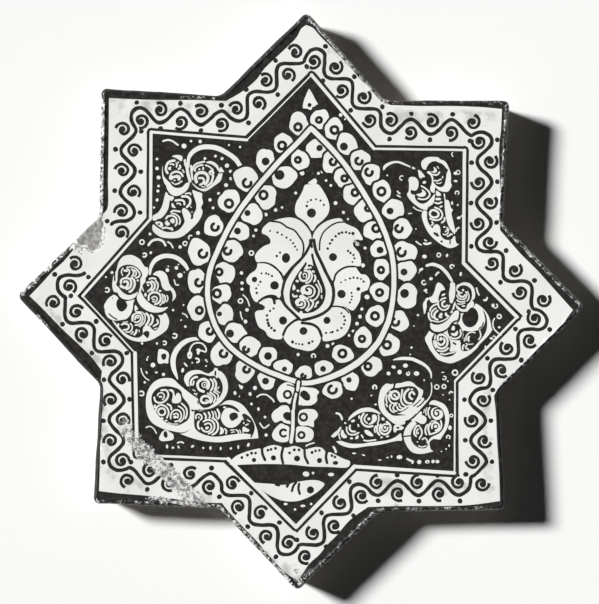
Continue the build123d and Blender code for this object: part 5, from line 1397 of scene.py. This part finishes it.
def dropFolds(bm):  # thin triangles that lie face to face on the same three points
    sameFaces = {}
    for face in bm.faces:
        sameFaces.setdefault(frozenset(face.verts), []).append(face)
    folded = [face for faces in sameFaces.values() for face in faces[:len(faces) // 2 * 2]]
    bmesh.ops.delete(bm, geom=folded, context="FACES")


def closeRim(bm, rimVerts):  # where a painted edge crosses the rim, the side is cut at the same place
    corners = set(rimVerts)
    openEdges = [edge for edge in bm.edges if edge.is_boundary]
    crossings = {vert for edge in openEdges for vert in edge.verts} - corners
    joined = {}
    for edge in openEdges:
        start, end = edge.verts
        if start not in corners or end not in corners:
            continue
        onEdge = []
        for vert in crossings:
            nearest, along = geometry.intersect_point_line(vert.co, start.co, end.co)
            if 0 < along < 1 and (vert.co - nearest).length < 1e-6:
                onEdge.append((along, vert.index, vert))
        for along, index, vert in sorted(onEdge):
            cut = bmesh.utils.edge_split(bm.edges.get((start, end)), start, 0.5)[1]
            cut.co = vert.co
            joined[cut] = vert
            start = cut
    bmesh.ops.weld_verts(bm, targetmap=joined)
    bmesh.ops.triangulate(bm, faces=[face for face in bm.faces if len(face.verts) > 3])


def buildTile(material):
    bm = bmesh.new()
    bm.from_mesh(cadTile.data)
    bmesh.ops.remove_doubles(bm, verts=bm.verts, dist=1e-6)
    top = max(vert.co.z for vert in bm.verts)
    bmesh.ops.delete(bm, geom=[face for face in bm.faces if isFlat(face, top)], context="FACES")
    bm.normal_update()
    step = tile["sideStep"] / 1000
    for pass_ in range(6):
        longEdges = [edge for edge in bm.edges if edge.calc_length() > step
                     and not all(isFlat(face, 0) for face in edge.link_faces)]
        bmesh.ops.subdivide_edges(bm, edges=longEdges, cuts=1)
        bmesh.ops.triangulate(bm, faces=[face for face in bm.faces if len(face.verts) > 3])
        dropFolds(bm)
    rimVerts = ringOf([edge for edge in bm.edges if edge.is_boundary])

    # the face's own pattern of triangles, cut along every painted edge
    points = [Vector((vert.co.x * 1000, vert.co.y * 1000)) for vert in rimVerts]
    faces, owners = [list(range(len(points)))], [-1]
    if sum(a.cross(b) for a, b in zip(points, points[1:] + points[:1])) < 0:
        faces[0].reverse()
    for number, corners in allPatches(material):
        area = sum(a.cross(b) for a, b in zip(corners, corners[1:] + corners[:1]))
        if abs(area) < 1e-4:
            continue
        indices = list(range(len(points), len(points) + len(corners)))
        points += corners
        faces.append(indices if area > 0 else indices[::-1])
        owners.append(number)
    grid = tile["grid"]
    reach = int(tile["gridReach"] / grid)
    for row in range(-reach, reach + 1):
        for column in range(-reach, reach + 1):
            points.append(Vector(((column + 0.5 * (row % 2)) * grid, row * grid * tile["gridRow"])))
    verts, _, triangles, fromVerts, _, fromFaces = geometry.delaunay_2d_cdt(points, [], faces, 0, 1e-5)
    print("face cut:", len(points), "points in,", len(triangles), "triangles out")

    lustre = bm.faces.layers.float.new("lustre")
    for face in bm.faces:
        spot = face.calc_center_median()
        fromFlake = math.dist(inPhoto(spot.x * 1000, spot.y * 1000), tile["flake"])
        inFlake = face.normal.z > 0.9 and spot.z > top * 0.8 and fromFlake < tile["flakeRadius"]
        face[lustre] = pale if inFlake else dark
    placed = {}

    def tileVert(index):
        if index not in placed:
            onRim = [source for source in fromVerts[index] if source < len(rimVerts)]
            if onRim:
                placed[index] = rimVerts[onRim[0]]
            else:
                placed[index] = bm.verts.new((verts[index].x / 1000, verts[index].y / 1000, top))
        return placed[index]

    for triangle, sources in zip(triangles, fromFaces):
        if 0 not in sources:
            continue
        coat = max(owners[source] for source in sources)
        face = bm.faces.new([tileVert(index) for index in triangle])
        face[lustre] = dark if coat < 0 else coats["tones"][coat]
    bm.verts.index_update()
    closeRim(bm, rimVerts)
    openEdges = sum(not edge.is_manifold for edge in bm.edges)
    print("tile:", len(bm.faces), "triangles,", openEdges, "open edges")

    # wear, plaster and the unevenness of a hand-pressed slab
    wearLayer = bm.verts.layers.float.new("wear")
    plasterLayer = bm.verts.layers.float.new("plaster")
    stainLayer = bm.verts.layers.float.new("stain")
    rim = kdtree.KDTree(len(rimVerts))
    for index, point in enumerate(points[:len(rimVerts)]):
        rim.insert(point.to_3d(), index)
    rim.balance()
    bm.normal_update()
    for vert in bm.verts:
        x, y = vert.co.x * 1000, vert.co.y * 1000
        if vert.co.z < top * 0.8:
            continue
        inwards = rim.find((x, y, 0))[2] if vert.co.z > top - 1e-6 else 0.0
        vert[wearLayer] = wearAt(x, y, inwards)
        vert[plasterLayer] = strokesAt(wear["plaster"], *inPhoto(x, y))
        vert[stainLayer] = strokesAt(wear["stains"], *inPhoto(x, y))
    for vert in bm.verts:
        spot = vert.co * 1000
        swell = noise.noise(spot * 0.05) - 0.5
        if vert.co.z > top - 1e-6:
            pits = max(0.0, vert[wearLayer] - 0.2) * (0.5 + noise.noise(spot * 0.8))
            vert.co.z -= (tile["unevenness"] * (0.5 - 0.5 * swell)
                          + tile["rubDepth"] * max(0.0, pits)) / 1000
        elif vert.co.z > 1e-4:
            bulge = noise.noise(spot * 0.12) + 0.5 * noise.noise(spot * 0.5) - 0.8
            bulge *= tile["sideUnevenness"] / 1000
            vert.co += Vector((vert.normal.x, vert.normal.y, 0)) * bulge
    mesh = bpy.data.meshes.new("starTile")
    bm.to_mesh(mesh)
    bm.free()
    mesh.shade_smooth()
    mesh.set_sharp_from_angle(angle=math.radians(40))
    mesh.materials.append(material)
    piece = bpy.data.objects.new("starTile", mesh)
    bpy.context.scene.collection.objects.link(piece)
    return piece


# The finish: pale glaze with dark lustre on it, plaster in the flake, bare stonepaste below.
glaze = {
    "pale": (0.90, 0.895, 0.88, 1),
    "paleShade": (0.83, 0.825, 0.805, 1),
    "stain": (0.36, 0.355, 0.34, 1),
    "lustre": (0.0215, 0.0205, 0.0195, 1),
    "lustreThin": (0.045, 0.0425, 0.0405, 1),
    "worn": (0.76, 0.755, 0.745, 1),
    "wornDeep": (0.26, 0.255, 0.25, 1),
    "plaster": (0.40, 0.395, 0.38, 1),
    "plasterDeep": (0.20, 0.195, 0.19, 1),
    "stonepaste": (0.60, 0.565, 0.51, 1),
    "stonepasteDeep": (0.42, 0.39, 0.345, 1),
    "glazeLine": 0.0085,  # height where the glaze stops on the sides
    "glazeDrip": 0.012,  # and how far it wanders
    "wornFrom": (0.93, 1.0),  # scuffing at which the glaze starts to go, and is gone
    "plasterFrom": (0.66, 0.72),
    "gloss": (0.22, 0.36),  # roughness of the glaze
    "dull": 0.85,  # and of what is worn, filled or bare
}


def mixed(tree, factor, a, b, kind="RGBA"):
    slots = {"RGBA": (6, 7, 2), "FLOAT": (2, 3, 0)}[kind]
    node = addNode(tree, "ShaderNodeMix", {0: factor, slots[0]: a, slots[1]: b}, data_type=kind)
    return node.outputs[slots[2]]


def between(tree, value, low, high):
    node = addNode(tree, "ShaderNodeMapRange", {"Value": value, "From Min": low, "From Max": high},
                   interpolation_type="SMOOTHSTEP")
    return node.outputs[0]


def paintedGlaze():
    material = bpy.data.materials.new("paintedGlaze")
    material.use_nodes = True
    tree = material.node_tree
    tree.nodes.clear()
    place = addNode(tree, "ShaderNodeTexCoord").outputs["Object"]
    height = addNode(tree, "ShaderNodeSeparateXYZ", {0: place}).outputs[2]

    def grainOf(scale, detail=3.0):
        return addNode(tree, "ShaderNodeTexNoise", {"Vector": place, "Scale": scale,
                                                    "Detail": detail}).outputs[0]

    cloud, grain, speck = grainOf(60.0), grainOf(700.0), grainOf(2200.0, 2.0)
    painted = addNode(tree, "ShaderNodeAttribute", attribute_name="lustre").outputs["Fac"]
    rubbed = addNode(tree, "ShaderNodeAttribute", attribute_name="wear").outputs["Fac"]
    filled = addNode(tree, "ShaderNodeAttribute", attribute_name="plaster").outputs["Fac"]

    paleColour = mixed(tree, between(tree, cloud, 0.35, 0.7), glaze["pale"], glaze["paleShade"])
    stained = addNode(tree, "ShaderNodeAttribute", attribute_name="stain").outputs["Fac"]
    blotch = maths(tree, "ADD", grainOf(250.0, 4.0), maths(tree, "MULTIPLY", stained, 0.35))
    blotch = between(tree, blotch, 0.6, 0.85)
    paleColour = mixed(tree, maths(tree, "MULTIPLY", blotch, stained), paleColour, glaze["stain"])
    darkColour = mixed(tree, between(tree, grain, 0.35, 0.75), glaze["lustre"], glaze["lustreThin"])
    colour = mixed(tree, painted, paleColour, darkColour)
    scuff = maths(tree, "ADD", maths(tree, "MULTIPLY", grain, 0.55), maths(tree, "MULTIPLY", speck, 0.45))
    worn = between(tree, maths(tree, "ADD", scuff, rubbed), *glaze["wornFrom"])
    wornColour = mixed(tree, between(tree, grainOf(900.0, 4.0), 0.43, 0.57), glaze["wornDeep"],
                       glaze["worn"])
    colour = mixed(tree, worn, colour, wornColour)
    isPlaster = maths(tree, "ADD", filled, maths(tree, "MULTIPLY", grain, 0.5))
    isPlaster = between(tree, isPlaster, *glaze["plasterFrom"])
    plasterColour = mixed(tree, between(tree, scuff, 0.4, 0.6), glaze["plasterDeep"], glaze["plaster"])
    colour = mixed(tree, isPlaster, colour, plasterColour)
    drip = maths(tree, "MULTIPLY", maths(tree, "SUBTRACT", cloud, 0.5), glaze["glazeDrip"])
    drip = maths(tree, "ADD", height, drip)
    isBare = between(tree, drip, glaze["glazeLine"] + 0.0003, glaze["glazeLine"] - 0.0003)
    colour = mixed(tree, isBare, colour, mixed(tree, scuff, glaze["stonepasteDeep"], glaze["stonepaste"]))

    dull = maths(tree, "MAXIMUM", maths(tree, "MAXIMUM", worn, isPlaster), isBare)
    roughness = mixed(tree, dull, mixed(tree, cloud, *glaze["gloss"], "FLOAT"), glaze["dull"], "FLOAT")
    relief = maths(tree, "MULTIPLY", scuff, mixed(tree, dull, 0.05, 1.0, "FLOAT"))
    bump = addNode(tree, "ShaderNodeBump", {"Height": relief, "Strength": 0.35, "Distance": 0.0006})
    shader = addNode(tree, "ShaderNodeBsdfPrincipled", {
        "Base Color": colour, "Roughness": roughness, "Normal": bump.outputs[0], "Specular IOR Level": 0.35})
    addNode(tree, "ShaderNodeOutputMaterial", {"Surface": shader.outputs[0]})
    return material


glazeFinish = paintedGlaze()
starTile = buildTile(glazeFinish)
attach(starTile, "root")
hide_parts("star_tile")
print("tile built")

# A plain pale floor, one soft lamp from the left and the photograph's view from straight above.
studio = {
    "floorSize": 4.0,
    "floor": (0.95, 0.95, 0.94, 1),
    "lampFrom": (-1.1, 0.42, 0.84),
    "lampStrength": 5.3,
    "lampAngle": math.radians(11),
    "skyStrength": 0.016,
    "cameraDistance": 1.2,
    "sensor": 36.0,
}


def buildStudio():
    scene = bpy.context.scene
    scene.view_settings.view_transform = "Standard"
    mesh = bpy.data.meshes.new("floor")
    half = studio["floorSize"] / 2
    corners = [(-half, -half, 0), (half, -half, 0), (half, half, 0), (-half, half, 0)]
    mesh.from_pydata(corners, [], [(0, 1, 2, 3)])
    material = bpy.data.materials.new("paleFloor")
    material.use_nodes = True
    shader = material.node_tree.nodes["Principled BSDF"]
    shader.inputs["Base Color"].default_value = studio["floor"]
    shader.inputs["Roughness"].default_value = 0.9
    shader.inputs["Specular IOR Level"].default_value = 0.1
    mesh.materials.append(material)
    floor = bpy.data.objects.new("floor", mesh)
    scene.collection.objects.link(floor)

    world = bpy.data.worlds.new("studioSky")
    world.use_nodes = True
    world.node_tree.nodes["Background"].inputs["Color"].default_value = (1, 1, 1, 1)
    world.node_tree.nodes["Background"].inputs["Strength"].default_value = studio["skyStrength"]
    scene.world = world

    light = bpy.data.lights.new("softLamp", "SUN")
    light.energy = studio["lampStrength"]
    light.angle = studio["lampAngle"]
    lamp = bpy.data.objects.new("softLamp", light)
    lamp.rotation_euler = Vector(studio["lampFrom"]).to_track_quat("Z", "Y").to_euler()
    scene.collection.objects.link(lamp)

    view = bpy.data.cameras.new("photoView")
    view.sensor_width = studio["sensor"]
    across, down = photo["size"]
    view.lens = studio["sensor"] * studio["cameraDistance"] / (max(photo["size"]) * photo["pixel"] / 1000)
    camera = bpy.data.objects.new("photoView", view)
    x, y = onTile(across / 2, down / 2)
    camera.location = (x / 1000, y / 1000, cadBox[1].z + studio["cameraDistance"])
    camera.rotation_euler = (0, 0, photo["turn"])
    scene.collection.objects.link(camera)
    scene.camera = camera


buildStudio()
print("studio set")
